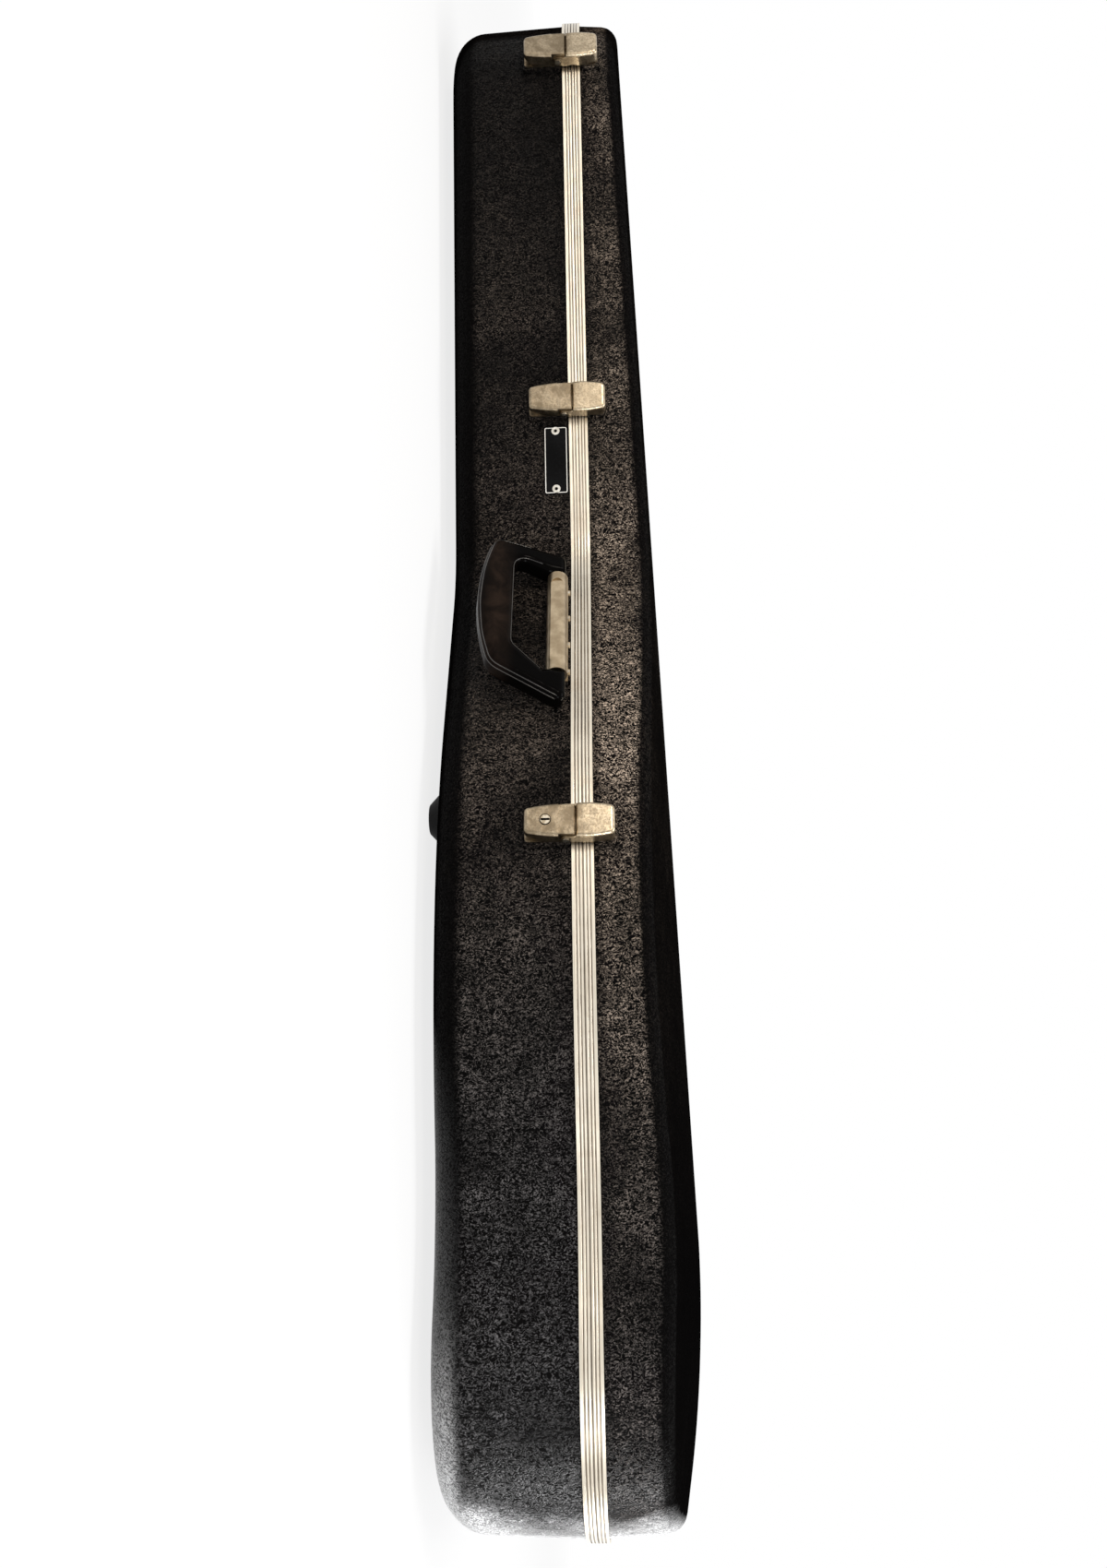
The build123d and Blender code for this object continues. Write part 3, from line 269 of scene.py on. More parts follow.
def leather():
    """Moulded black shell: pebbles and folds with painted highlights on their tops, and a pale metallic
    painted highlight at the body end.
    """
    m = Nodes("grained_shell")
    along, height = m.axis(0), m.axis(2)
    facing_out = m.coordinates.outputs["Normal"]
    end_face, up_face = m.axis(0, facing_out), m.axis(2, facing_out)
    wall = m.span(m.math("ABSOLUTE", up_face), 0.10, 0.50, 1.0, 0.0)
    on_lid = m.span(height, SEAM_Z - 0.006, SEAM_Z + 0.012)

    # Grain and its bump
    place = m.warped(95.0, 0.006)
    pebbles = m.span(m.cells(PEBBLES, "F1", place), 0.08, 0.58, 1.0, 0.0)
    fold = m.noise(FOLDS, 2.0, 0.5, m.stretched((1.0, 1.0, 0.55), place), 0.7)
    from_fold = m.math("ABSOLUTE", m.math("SUBTRACT", fold, 0.5))
    wrinkles = m.span(from_fold, 0.0, 0.110, 1.0, 0.0)
    grain = m.math("MULTIPLY_ADD", pebbles, 0.55, m.times(wrinkles, 0.55))
    waves = m.bump(m.noise(10.0, 3.0, 0.45), WAVE_DEPTH)
    normal = m.bump(grain, GRAIN_DEPTH, 1.0, waves)

    # Painted highlights on the tops of the grain, much lighter on the lid as painted light
    cloud = m.span(m.noise(14.0, 4.0, 0.6), 0.32, 0.68, 0.35, 1.25)
    patches = m.span(m.noise(85.0, 4.0, 0.6, warp=0.6), 0.35, 0.68, 0.60, 1.1)
    base_highlight_level = m.span(along, -0.50, -0.02, 0.12, 0.95)
    lid_highlight_level = m.times(m.span(along, -0.36, 0.02, 0.40, 1.0), m.span(along, 0.06, 0.40, 1.0, 0.45))
    # Painted shade on the lid beside the band
    band_shade = m.span(height, SEAM_Z + 0.008, SEAM_Z + 0.014, 0.40, 1.0)
    lid_highlight_level = m.times(lid_highlight_level, band_shade)
    highlight_level = m.math("MULTIPLY_ADD", on_lid, m.math("SUBTRACT", lid_highlight_level, base_highlight_level), base_highlight_level)
    highlight_level = m.times(highlight_level, m.times(cloud, patches))
    # Painted shade: the grain highlights fade out on faces turned up or down
    highlight_level = m.times(highlight_level, m.span(wall, 0.0, 1.0, 0.03, 1.0))
    painted_grain_highlight = m.times(m.span(grain, 0.26, 0.86), highlight_level)
    base_highlight_colour = m.mix(m.span(along, 0.05, 0.40), BASE_GRAIN_HIGHLIGHT_HEAD, BASE_GRAIN_HIGHLIGHT_BODY)
    lid_highlight_colour = m.mix(m.span(along, 0.10, 0.42), LID_GRAIN_HIGHLIGHT_HEAD, LID_GRAIN_HIGHLIGHT_BODY)
    colour = m.mix(painted_grain_highlight, LEATHER_BLACK, m.mix(on_lid, base_highlight_colour, lid_highlight_colour))

    # Painted highlight, pale and metallic, on the body end and on the lower edge
    ragged = m.math(
        "MULTIPLY_ADD", m.noise(24.0, 4.0, 0.6), HIGHLIGHT_EDGE_RAGGED, m.math("SUBTRACT", along, HIGHLIGHT_EDGE_RAGGED / 2)
    )
    ragged = m.math("ADD", ragged, m.span(height, 0.015, 0.065, 0.030, 0.0))
    end_turn = m.times(m.span(end_face, 0.30, 0.80), m.span(ragged, 0.492, 0.534))
    low_edge = m.times(m.span(up_face, -0.66, -0.20, 1.0, 0.0), m.span(along, 0.22, 0.50))
    low_corner = m.times(low_edge, m.span(along, 0.36, 0.50))
    corner = m.times(m.math("MAXIMUM", end_turn, low_corner), PAINTED_HIGHLIGHT_SHARE)
    painted_end_highlight = m.times(corner, m.span(grain, 0.10, 0.60, 0.20, 1.0))
    colour = m.mix(painted_end_highlight, colour, PAINTED_HIGHLIGHT_COLOUR)

    # Gloss
    edge = m.add("ShaderNodeLayerWeight")
    edge.inputs["Blend"].default_value = 0.5
    facing = m.span(edge.outputs["Facing"], 0.30, 0.72, 1.0, 0.0)
    body_end = m.times(m.span(along, 0.34, 0.52), m.math("MULTIPLY_ADD", on_lid, -0.85, 1.0))
    gloss = m.times(m.math("MULTIPLY_ADD", body_end, 0.22, 0.05), facing)
    gloss = m.times(gloss, m.span(wall, 0.0, 1.0, 0.20, 1.0))
    gloss = m.math("MAXIMUM", gloss, m.math("MAXIMUM", end_turn, low_edge))
    gloss = m.times(gloss, m.span(grain, 0.0, 0.7, 0.22, 1.0))
    rough = m.span(m.noise(40.0, 5.0, 0.6), 0.3, 0.75, 0.26, 0.38)
    made = m.finish(colour, rough, 0.0, normal, Specular_IOR_Level=0.1)
    m.join(gloss, m.shader.inputs["Specular IOR Level"])
    m.join(painted_end_highlight, m.shader.inputs["Metallic"])
    return made


def band_metal():
    """Extruded ribbed aluminium, drawn lengthways, darkened along its seam and grooves, with small dents."""
    m = Nodes("ribbed_band")
    drawn = m.noise(1.0, 4.0, 0.6, m.stretched((18.0, 18.0, 4200.0)))
    broad = m.noise(1.0, 3.0, 0.5, m.stretched((30.0, 30.0, 700.0)))
    from_seam = m.math("ABSOLUTE", m.math("SUBTRACT", m.axis(2), SEAM_Z))
    crest = m.span(from_seam, *SEAM_LINE)
    for groove in GROOVES:
        away = m.math("ABSOLUTE", m.math("SUBTRACT", from_seam, groove))
        crest = m.times(crest, m.span(away, *GROOVE_LINE))
    patchy = m.span(m.noise(60.0, 5.0, 0.65), 0.3, 0.7, 0.75, 1.0)
    # Darker along the seam and the grooves, in patches
    dark_lines = m.times(m.math("SUBTRACT", 1.0, crest), patchy)
    tarnish = m.span(m.noise(70.0, 5.0, 0.65), 0.45, 0.8)
    colour = m.mix(m.span(drawn, 0.3, 0.7), (0.60, 0.53, 0.42), (0.88, 0.82, 0.70))
    colour = m.mix(m.times(tarnish, 0.35), colour, (0.46, 0.36, 0.24))
    colour = m.mix(m.times(dark_lines, 0.88), colour, (0.085, 0.052, 0.030))
    rough = m.math("MULTIPLY_ADD", broad, 0.22, 0.20)
    dents = m.bump(m.noise(55.0, 2.0), 0.0006, 0.6)
    ribs = m.bump(crest, 0.00030, 0.8, dents)
    normal = m.bump(drawn, 0.00004, 0.6, ribs)
    return m.finish(colour, rough, 1.0, normal)


def aged_metal(name, bright, dull, spots, rough, pits=1.0, lid_side_light=0.0):
    """Old plated metal: cloudy colour, dark pits, uneven surface, and painted light that makes it brighter
    above the seam by the lid-side share.
    """
    m = Nodes(name)
    cloud = m.span(m.noise(130.0, 5.0, 0.65, warp=0.4), 0.36, 0.68, 0.0, 1.0 - lid_side_light)
    # Painted light: brighter above the seam
    above = m.span(m.axis(2), SEAM_Z - 0.004, SEAM_Z + 0.003, 0.0, lid_side_light)
    colour = m.mix(m.math("ADD", cloud, above), dull, bright)
    holes = m.cells(900.0, "F1")
    where = m.span(m.noise(260.0, 3.0), 0.5, 0.66)
    pit = m.times(m.span(holes, 0.12, 0.34, 1.0, 0.0), where)
    speckle = m.span(m.noise(720.0, 3.0, 0.65), 0.36, 0.58, 0.60 * pits, 0.0)
    colour = m.mix(speckle, colour, dull)
    colour = m.mix(m.times(pit, 0.80 * pits), colour, spots)
    shine = m.math("MULTIPLY_ADD", m.noise(300.0, 4.0, 0.6), 0.22, rough)
    shine = m.math("MULTIPLY_ADD", pit, 0.25, shine)
    uneven = m.bump(m.noise(180.0, 3.0), 0.0004, 0.5)
    fine = m.bump(m.noise(2200.0, 3.0, 0.6), 0.00006, 0.6, uneven)
    normal = m.bump(m.times(pit, -1.0), 0.00012, 0.7, fine)
    return m.finish(colour, shine, 1.0, normal)


def brushed_metal(name, bright, dull, rough, grain):
    """Satin metal with fine lines that run across the largest part of grain."""
    m = Nodes(name)
    lines = m.noise(1.0, 4.0, 0.6, m.stretched(grain))
    cloud = m.span(m.noise(90.0, 4.0), 0.35, 0.7)
    colour = m.mix(cloud, dull, bright)
    colour = m.mix(m.times(lines, 0.25), colour, dull)
    shine = m.math("MULTIPLY_ADD", lines, 0.2, rough)
    normal = m.bump(lines, 0.00003, 0.6, m.bump(m.noise(60.0, 2.0), 0.0006, 0.4))
    return m.finish(colour, shine, 1.0, normal)


def outer_face(corners, out):
    """Level of the outermost face among corners along out, and the middle of that face."""
    level = max(corner.dot(out) for corner in corners)
    face = [corner for corner in corners if level - corner.dot(out) < FACE_DEPTH]
    middle = [(min(c[i] for c in face) + max(c[i] for c in face)) / 2 for i in range(3)]
    return level, Vector(middle)


def label_rivet_metal():
    """Bright tubular rivets with painted shade in their bores."""
    m = Nodes("label_rivet_metal")
    corners = [vertex.co for vertex in nodes["label_rivets"].data.vertices]
    halfway = (min(c.x for c in corners) + max(c.x for c in corners)) / 2
    ends = ([c for c in corners if (c.x > halfway) == after] for after in (False, True))
    near, far = (m.from_line(outer_face(end, LABEL_OUT)[1], LABEL_OUT) for end in ends)
    # Painted shade: a dark disc in each rivet's bore
    bore_shade = m.span(m.math("MINIMUM", near, far), RIVET_BORE, RIVET_BORE + 0.25 * MM, 1.0, 0.0)
    cloud = m.span(m.noise(240.0, 4.0, 0.6), 0.35, 0.7)
    colour = m.mix(bore_shade, m.mix(cloud, (0.62, 0.58, 0.50), (0.90, 0.87, 0.80)), (0.006, 0.005, 0.004))
    normal = m.bump(m.noise(900.0, 2.0), 0.00005, 0.5)
    return m.finish(colour, m.math("MULTIPLY_ADD", bore_shade, 0.5, 0.20), 1.0, normal)


def lock_metal():
    """Nickel plug with painted shade round its edge and in its keyway."""
    m = Nodes("lock_metal")
    level, middle = outer_face([vertex.co for vertex in nodes["lock_plug"].data.vertices], LOCK_OUT)
    # Painted shade in the keyway and round the edge of the plug's face
    keyway_shade = m.span(m.math("SUBTRACT", level, m.dot(LOCK_OUT)), 0.3 * MM, 0.8 * MM)
    rim = m.span(m.from_line(middle, LOCK_OUT), LOCK_RADIUS - 0.80 * MM, LOCK_RADIUS - 0.35 * MM)
    plug_shade = m.math("MAXIMUM", keyway_shade, rim)
    cloud = m.span(m.noise(400.0, 4.0, 0.6), 0.35, 0.7)
    colour = m.mix(cloud, (0.40, 0.32, 0.21), (0.80, 0.72, 0.58))
    colour = m.mix(m.times(plug_shade, 0.97), colour, (0.010, 0.007, 0.005))
    normal = m.bump(m.noise(700.0, 2.0), 0.00005, 0.5)
    return m.finish(colour, m.math("MULTIPLY_ADD", plug_shade, 0.4, 0.22), 1.0, normal)


def moulded(name, low, high, rough, wave=0.0004, grain=0.00002, grain_scale=1800.0, **values):
    """Plastic or rubber as it comes from the mould, with slight unevenness and handling marks."""
    m = Nodes(name)
    colour = m.mix(m.span(m.noise(45.0, 4.0), 0.3, 0.7), low, high)
    marks = m.span(m.noise(1.0, 4.0, 0.65, m.stretched((500.0, 120.0, 500.0))), 0.5, 0.8)
    shine = m.math("MULTIPLY_ADD", marks, 0.14, rough)
    under = m.bump(m.noise(70.0, 2.0), wave, 0.5)
    normal = m.bump(m.noise(grain_scale, 2.0), grain, 0.6, under)
    return m.finish(colour, shine, 0.0, normal, **values)


def grip():
    """Glossy moulded plastic, with a painted brownish reflection down the middle of the grip, where the hand
    lies.
    """
    m = Nodes("grip")
    across = m.math("SUBTRACT", m.dot(HANDLE_ACROSS), HANDLE_AXLE.dot(HANDLE_ACROSS))
    along = m.math("SUBTRACT", m.dot(HANDLE_ALONG), HANDLE_AXLE.dot(HANDLE_ALONG))
    from_middle = m.math("ABSOLUTE", m.math("ADD", across, GRIP_MIDDLE))
    # Painted reflection: a brownish strip down the middle of the grip
    reflection_strip = m.times(m.span(from_middle, 0.0, 0.015, 1.0, 0.0), m.span(along, -0.070, -0.045, 0.4, 1.0))
    reflection_strip = m.times(reflection_strip, m.span(along, 0.030, 0.062, 1.0, 0.35))
    painted_reflection = m.times(reflection_strip, m.span(m.noise(55.0, 4.0, 0.6, warp=0.8), 0.32, 0.66, 0.30, 1.0))
    colour = m.mix(painted_reflection, (0.0014, 0.0012, 0.0011), (0.019, 0.0122, 0.0088))
    marks = m.span(m.noise(1.0, 4.0, 0.65, m.stretched((500.0, 120.0, 500.0))), 0.5, 0.8)
    shine = m.math("MULTIPLY_ADD", marks, 0.12, m.math("MULTIPLY_ADD", painted_reflection, 0.14, 0.11))
    normal = m.bump(m.noise(1800.0, 2.0), 0.00002, 0.6, m.bump(m.noise(60.0, 2.0), 0.0007, 0.6))
    return m.finish(colour, shine, 0.0, normal, Specular_IOR_Level=0.016)


def foam_skin():
    """Rigid foam with open pores."""
    m = Nodes("foam")
    pores = m.span(m.cells(900.0), 0.1, 0.6)
    colour = m.mix(pores, (0.035, 0.034, 0.033), (0.085, 0.083, 0.080))
    colour = m.mix(m.times(m.noise(30.0, 4.0), 0.4), colour, (0.12, 0.115, 0.105))
    normal = m.bump(pores, 0.0005, 0.8)
    return m.finish(colour, 0.92, 0.0, normal)


def plush():
    """Short pile cloth: tufts, brushed patches and a soft sheen."""
    m = Nodes("plush")
    pile = m.noise(1600.0, 4.0, 0.7, m.warped(200.0, 0.002))
    tufts = m.cells(650.0, "SMOOTH_F1", m.warped(120.0, 0.004))
    brushed = m.span(m.noise(11.0, 4.0, 0.6, warp=1.2), 0.35, 0.68)
    colour = m.mix(brushed, (0.145, 0.150, 0.165), (0.235, 0.240, 0.260))
    colour = m.mix(m.times(m.span(pile, 0.35, 0.6, 1.0, 0.0), 0.6), colour, (0.070, 0.073, 0.082))
    under = m.bump(tufts, 0.0010, 0.6)
    normal = m.bump(pile, 0.0008, 0.8, under)
    return m.finish(colour, 0.95, 0.0, normal, Sheen_Weight=0.6, Sheen_Roughness=0.45)


MATERIALS = {
    "grained_shell": leather(),
    "ribbed_band": band_metal(),
    "catch_metal": aged_metal(
        "catch_metal", (0.62, 0.51, 0.36), (0.20, 0.155, 0.10), (0.07, 0.045, 0.028), 0.20, lid_side_light=0.5
    ),
    "rivet_metal": aged_metal(
        "rivet_metal", (0.78, 0.74, 0.66), (0.48, 0.43, 0.35), (0.14, 0.11, 0.08), 0.18, 0.6
    ),
    "lock_metal": lock_metal(),
    "label_rivet_metal": label_rivet_metal(),
    "grip": grip(),
    # Beads coloured lighter than the grip, as painted highlight lines
    "grip_bead": moulded(
        "grip_bead", (0.018, 0.017, 0.016), (0.060, 0.054, 0.047), 0.14, Specular_IOR_Level=0.42
    ),
    "bracket_metal": brushed_metal(
        "bracket_metal", (0.62, 0.50, 0.34), (0.34, 0.26, 0.165), 0.22, (60.0, 900.0, 900.0)
    ),
    "label": moulded(
        "label", (0.0025, 0.0025, 0.0026), (0.0055, 0.0055, 0.0058), 0.26, 0.0001, Specular_IOR_Level=0.04
    ),
    "label_border": moulded("label_border", (0.80, 0.78, 0.73), (0.92, 0.90, 0.85), 0.45, 0.0001),
    "foot_rubber": moulded(
        "foot_rubber", (0.003, 0.003, 0.003), (0.009, 0.008, 0.008), 0.55, 0.0004, 0.00008, 900.0,
        Specular_IOR_Level=0.08,
    ),
    "hinge_metal": brushed_metal(
        "hinge_metal", (0.66, 0.58, 0.44), (0.42, 0.35, 0.25), 0.22, (900.0, 900.0, 60.0)
    ),
    "foam": foam_skin(),
    "plush": plush(),
}


def dress(names, slot):
    """Give the CAD nodes the material of that slot."""
    for name in names:
        thing = nodes[name]
        if not thing.data.materials:
            thing.data.materials.append(MATERIALS[slot])
        for place in thing.material_slots:
            place.material = MATERIALS[slot]


CATCHES = ("head", "middle", "lower")
CATCH_COVERS = ("catch_plate", "lever", "claw", "strike")
CATCH_FASTENERS = ("lever_pin", "plate_rivets", "claw_rivets", "strike_rivets")
dress(["base_shell", "lid_shell"], "grained_shell")
dress(["base_trim", "lid_trim"], "ribbed_band")
for catch in CATCHES:
    dress([f"{catch}_{part}" for part in CATCH_COVERS], "catch_metal")
    dress([f"{catch}_{part}" for part in CATCH_FASTENERS], "rivet_metal")
dress(["lock_plug"], "lock_metal")
dress(["handle"], "grip")
dress(["handle_bracket"], "bracket_metal")
dress(["label_rivets"], "label_rivet_metal")
dress(["bracket_rivets", "foot_screws", "base_hinge_rivets", "lid_hinge_rivets"], "rivet_metal")
dress(["label_plate"], "label")
dress(["front_foot", "spine_foot", "rear_front_foot", "rear_spine_foot", "head_foot"], "foot_rubber")
for side in ("upper", "lower"):
    dress([f"{side}_hinge_{part}" for part in ("base_leaf", "lid_leaf", "pin")], "hinge_metal")


# Pieces made here
def new_piece(name, mesh, body, slot, material=None):
    """A shown piece that rides on a body and takes the finish of a slot."""
    piece = bpy.data.objects.new(name, mesh)
    scene.collection.objects.link(piece)
    mesh.materials.clear()
    mesh.materials.append(MATERIALS[material or slot])
    for face in mesh.polygons:
        face.use_smooth = True
    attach(piece, body)
    return piece


def mesh_from(made, name):
    """Plain mesh of a bmesh, which is freed."""
    mesh = bpy.data.meshes.new(name)
    made.to_mesh(mesh)
    made.free()
    return mesh


def tree_of(node):
    """Search tree of a CAD node's surface."""
    return BVHTree.FromPolygons(
        [vertex.co for vertex in nodes[node].data.vertices],
        [face.vertices for face in nodes[node].data.polygons],
    )


TUBE_SIDES = 8


def tube(points, radius, closed=False):
    """Mesh tube of round section along points, with flat ends where it is open."""
    made = bmesh.new()
    count = len(points)
    rings = []
    side = None
    for i, point in enumerate(points):
        before = points[i - 1] if closed or i else point
        after = points[(i + 1) % count] if closed or i < count - 1 else point
        ahead = (after - before).normalized()
        side = (ahead.orthogonal() if side is None else side - ahead * side.dot(ahead)).normalized()
        up = ahead.cross(side)
        rings.append([
            made.verts.new(point + (side * math.cos(a) + up * math.sin(a)) * radius)
            for a in (2 * math.pi * k / TUBE_SIDES for k in range(TUBE_SIDES))
        ])
    for i in range(count if closed else count - 1):
        here, there = rings[i], rings[(i + 1) % count]
        for k in range(TUBE_SIDES):
            after = (k + 1) % TUBE_SIDES
            made.faces.new((here[k], here[after], there[after], there[k]))
    if not closed:
        made.faces.new(list(reversed(rings[0])))
        made.faces.new(rings[-1])
    bmesh.ops.recalc_face_normals(made, faces=made.faces)
    return mesh_from(made, "tube")


PATH_STEP = 1.5 * MM
ARC_PARTS = 8


def rounded_path(corners):
    """Points along straight runs whose inner corners, given as (x, y, radius), are rounded."""
    path = []
    for i, (x, y, radius) in enumerate(corners):
        here = Vector((x, y))
        if i in (0, len(corners) - 1) or not radius:
            path.append(here)
            continue
        back = (Vector(corners[i - 1][:2]) - here).normalized()
        ahead = (Vector(corners[i + 1][:2]) - here).normalized()
        half = back.angle(ahead) / 2
        reach = radius / math.tan(half)
        centre = here + (back + ahead).normalized() * radius / math.sin(half)
        start = here + back * reach - centre
        turn = start.angle_signed(here + ahead * reach - centre)
        for k in range(ARC_PARTS + 1):
            path.append(centre + Matrix.Rotation(-turn * k / ARC_PARTS, 2) @ start)
    dense = [path[0]]
    for point in path[1:]:
        count = max(1, round((point - dense[-1]).length / PATH_STEP))
        start = dense[-1]
        dense += [start.lerp(point, k / count) for k in range(1, count + 1)]
    return dense


# Handle: beads round its outer edge and along its opening, laid on the moulded grip
BEAD_CORE_IN = 5 * MM
BEAD_CORE_UP = 2.5 * MM
BEAD_SMOOTHINGS = 3


def laid_on(surface, start, direction):
    """Where a line from start meets the surface."""
    hit = surface.ray_cast(start, direction.normalized())[0]
    return hit if hit is not None else surface.find_nearest(start)[0]


def handle_bead(name, corners, tilt, inside, radius):
    """Bead on the grip's edge, seen from tilt degrees above the grip's own plane."""
    surface = tree_of("handle")
    flat = rounded_path([(x * MM, y * MM, r * MM) for x, y, r in corners])
    points = []
    for i, spot in enumerate(flat):
        before, after = flat[max(i - 1, 0)], flat[min(i + 1, len(flat) - 1)]
        run = (after - before).normalized()
        out = Vector((run.y, -run.x)) * (-1 if inside else 1)
        away = HANDLE_ALONG * out.x + HANDLE_ACROSS * out.y
        edge = HANDLE_AXLE + HANDLE_ALONG * spot.x + HANDLE_ACROSS * spot.y
        core = edge - away * BEAD_CORE_IN + HANDLE_NORMAL * BEAD_CORE_UP
        look = away * math.cos(math.radians(tilt)) + HANDLE_NORMAL * math.sin(math.radians(tilt))
        points.append(laid_on(surface, core, look))
    for _ in range(BEAD_SMOOTHINGS):
        inner = [(a + b * 2 + c) / 4 for a, b, c in zip(points, points[1:], points[2:])]
        points = [points[0], *inner, points[-1]]
    new_piece(name, tube(points, radius * MM), "handle", "grip", "grip_bead")


# Corners of each edge in mm from the axle's middle: along, across, and the radius of the corner
OUTER_EDGE = [
    (-60.5, -20, 0), (-64, -45, 8), (-32, -51.6, 60), (0, -54, 90),
    (30, -51.8, 60), (55, -45, 14), (77.5, 2, 0),
]
OPENING_EDGE = [(-44.6, -12, 0), (-49, -30.5, 7), (34, -30.5, 7), (50.5, -10.5, 0)]
handle_bead("handle_bead_outer", OUTER_EDGE, 8, False, 0.38)
handle_bead("handle_bead_front", OUTER_EDGE, 40, False, 0.38)
handle_bead("handle_bead_opening", OPENING_EDGE, 40, True, 0.34)


# Label plate: bare, with a thin pale border line on its face. Each edge of it: inset and radius
BORDER_EDGES = ((0.7 * MM, 1.1 * MM), (1.2 * MM, 0.7 * MM))
BORDER_LIFT = 0.07 * MM
BORDER_TURN = 15


def label_border():
    """Rounded rectangular line, a hair proud of the plate's front face."""
    data = nodes["label_plate"].data
    faces = [face for face in data.polygons if face.normal.y < -0.9]
    normal = max(faces, key=lambda face: face.area).normal.copy()
    front = [face for face in faces if face.normal.dot(normal) > 0.9999]
    corners = [data.vertices[i].co for face in front for i in face.vertices]
    along = (LABEL_ALONG - normal * LABEL_ALONG.dot(normal)).normalized()
    across = normal.cross(along)
    low_a, high_a = (pick(c.dot(along) for c in corners) for pick in (min, max))
    low_b, high_b = (pick(c.dot(across) for c in corners) for pick in (min, max))
    level = max(c.dot(normal) for c in corners)
    made = bmesh.new()
    loops = []
    for inset, radius in BORDER_EDGES:
        loop = []
        for sign_a, sign_b, start in ((1, 1, 0), (-1, 1, 90), (-1, -1, 180), (1, -1, 270)):
            centre_a = (high_a if sign_a > 0 else low_a) - sign_a * (inset + radius)
            centre_b = (high_b if sign_b > 0 else low_b) - sign_b * (inset + radius)
            for degrees in range(start, start + 91, BORDER_TURN):
                angle = math.radians(degrees)
                a = centre_a + radius * math.cos(angle)
                b = centre_b + radius * math.sin(angle)
                loop.append((a, b))
        loops.append(loop)
    rings = [
        [made.verts.new(along * a + across * b + normal * (level + lift)) for a, b in loop]
        for loop, lift in ((loops[0], 0.0), (loops[0], BORDER_LIFT), (loops[1], BORDER_LIFT), (loops[1], 0.0))
    ]
    count = len(loops[0])
    for i in range(4):
        here, there = rings[i], rings[(i + 1) % 4]
        for k in range(count):
            made.faces.new((here[k], here[(k + 1) % count], there[(k + 1) % count], there[k]))
    bmesh.ops.recalc_face_normals(made, faces=made.faces)
    mesh = mesh_from(made, "label_border")
    new_piece("label_border", mesh, "base", "label", "label_border")
    for face in mesh.polygons:
        face.use_smooth = False


label_border()


# Soft pieces: each replaces its plain solid with a softened copy in the same place
LINING_CELL = 9 * MM
FOAM_CELL = 16 * MM
ROOM_WIDTH = 20 * MM
RIM_HEIGHT = 4.5 * MM
SAME_PLACE = 1e-6


def gridded(node, step):
    """Copy of a node's mesh, cut into cells no larger than step."""
    made = bmesh.new()
    made.from_mesh(nodes[node].data)
    bmesh.ops.remove_doubles(made, verts=made.verts, dist=SAME_PLACE)
    low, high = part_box(node)
    for axis in range(3):
        count = int((high[axis] - low[axis]) / step)
        for k in range(1, count + 1):
            place = Vector((0, 0, 0))
            place[axis] = low[axis] + (high[axis] - low[axis]) * k / (count + 1)
            normal = Vector((0, 0, 0))
            normal[axis] = 1
            geometry = made.verts[:] + made.edges[:] + made.faces[:]
            bmesh.ops.bisect_plane(made, geom=geometry, dist=SAME_PLACE, plane_co=place, plane_no=normal)
    return made


def soft_mesh(made, name):
    bmesh.ops.triangulate(made, faces=made.faces)
    return mesh_from(made, name)


def dressed_soft(made, node, name, body, slot):
    """Shown soft piece in place of a node's plain solid."""
    piece = new_piece(name, soft_mesh(made, name), body, slot)
    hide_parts(node)


def plush_lining(node, body, opens):
    """Lining whose room side swells in soft pads, while its back stays on the foam."""
    surface = tree_of(node)
    made = gridded(node, LINING_CELL)
    made.normal_update()
    moves = []
    for vertex in made.verts:
        out = vertex.normal
        start = vertex.co + out * 0.4 * MM
        hit, _, _, distance = surface.ray_cast(start, out)
        faces_room = out.z * opens > 0.3 or (hit is not None and distance > ROOM_WIDTH)
        if not faces_room or abs(vertex.co.z - SEAM_Z) < RIM_HEIGHT:
            moves.append(Vector((0, 0, 0)))
            continue
        swell = 0.5 + 0.5 * noise.noise(vertex.co * 24)
        crease = abs(noise.noise(vertex.co * 13 + Vector((3.1, 7.7, 1.3))))
        moves.append(out * (1.7 * swell * min(1, crease * 4.5) - 0.1) * MM)
    for vertex, move in zip(made.verts, moves):
        vertex.co += move
    dressed_soft(made, node, node + "_plush", body, "plush")


def foam_tray(node, body):
    """Foam tray with the slightly uneven skin of moulded foam."""
    made = gridded(node, FOAM_CELL)
    made.normal_update()
    for vertex, out in [(vertex, vertex.normal.copy()) for vertex in made.verts]:
        vertex.co -= out * (0.25 + 0.25 * noise.noise(vertex.co * 40)) * MM
    dressed_soft(made, node, node + "_tray", body, "foam")


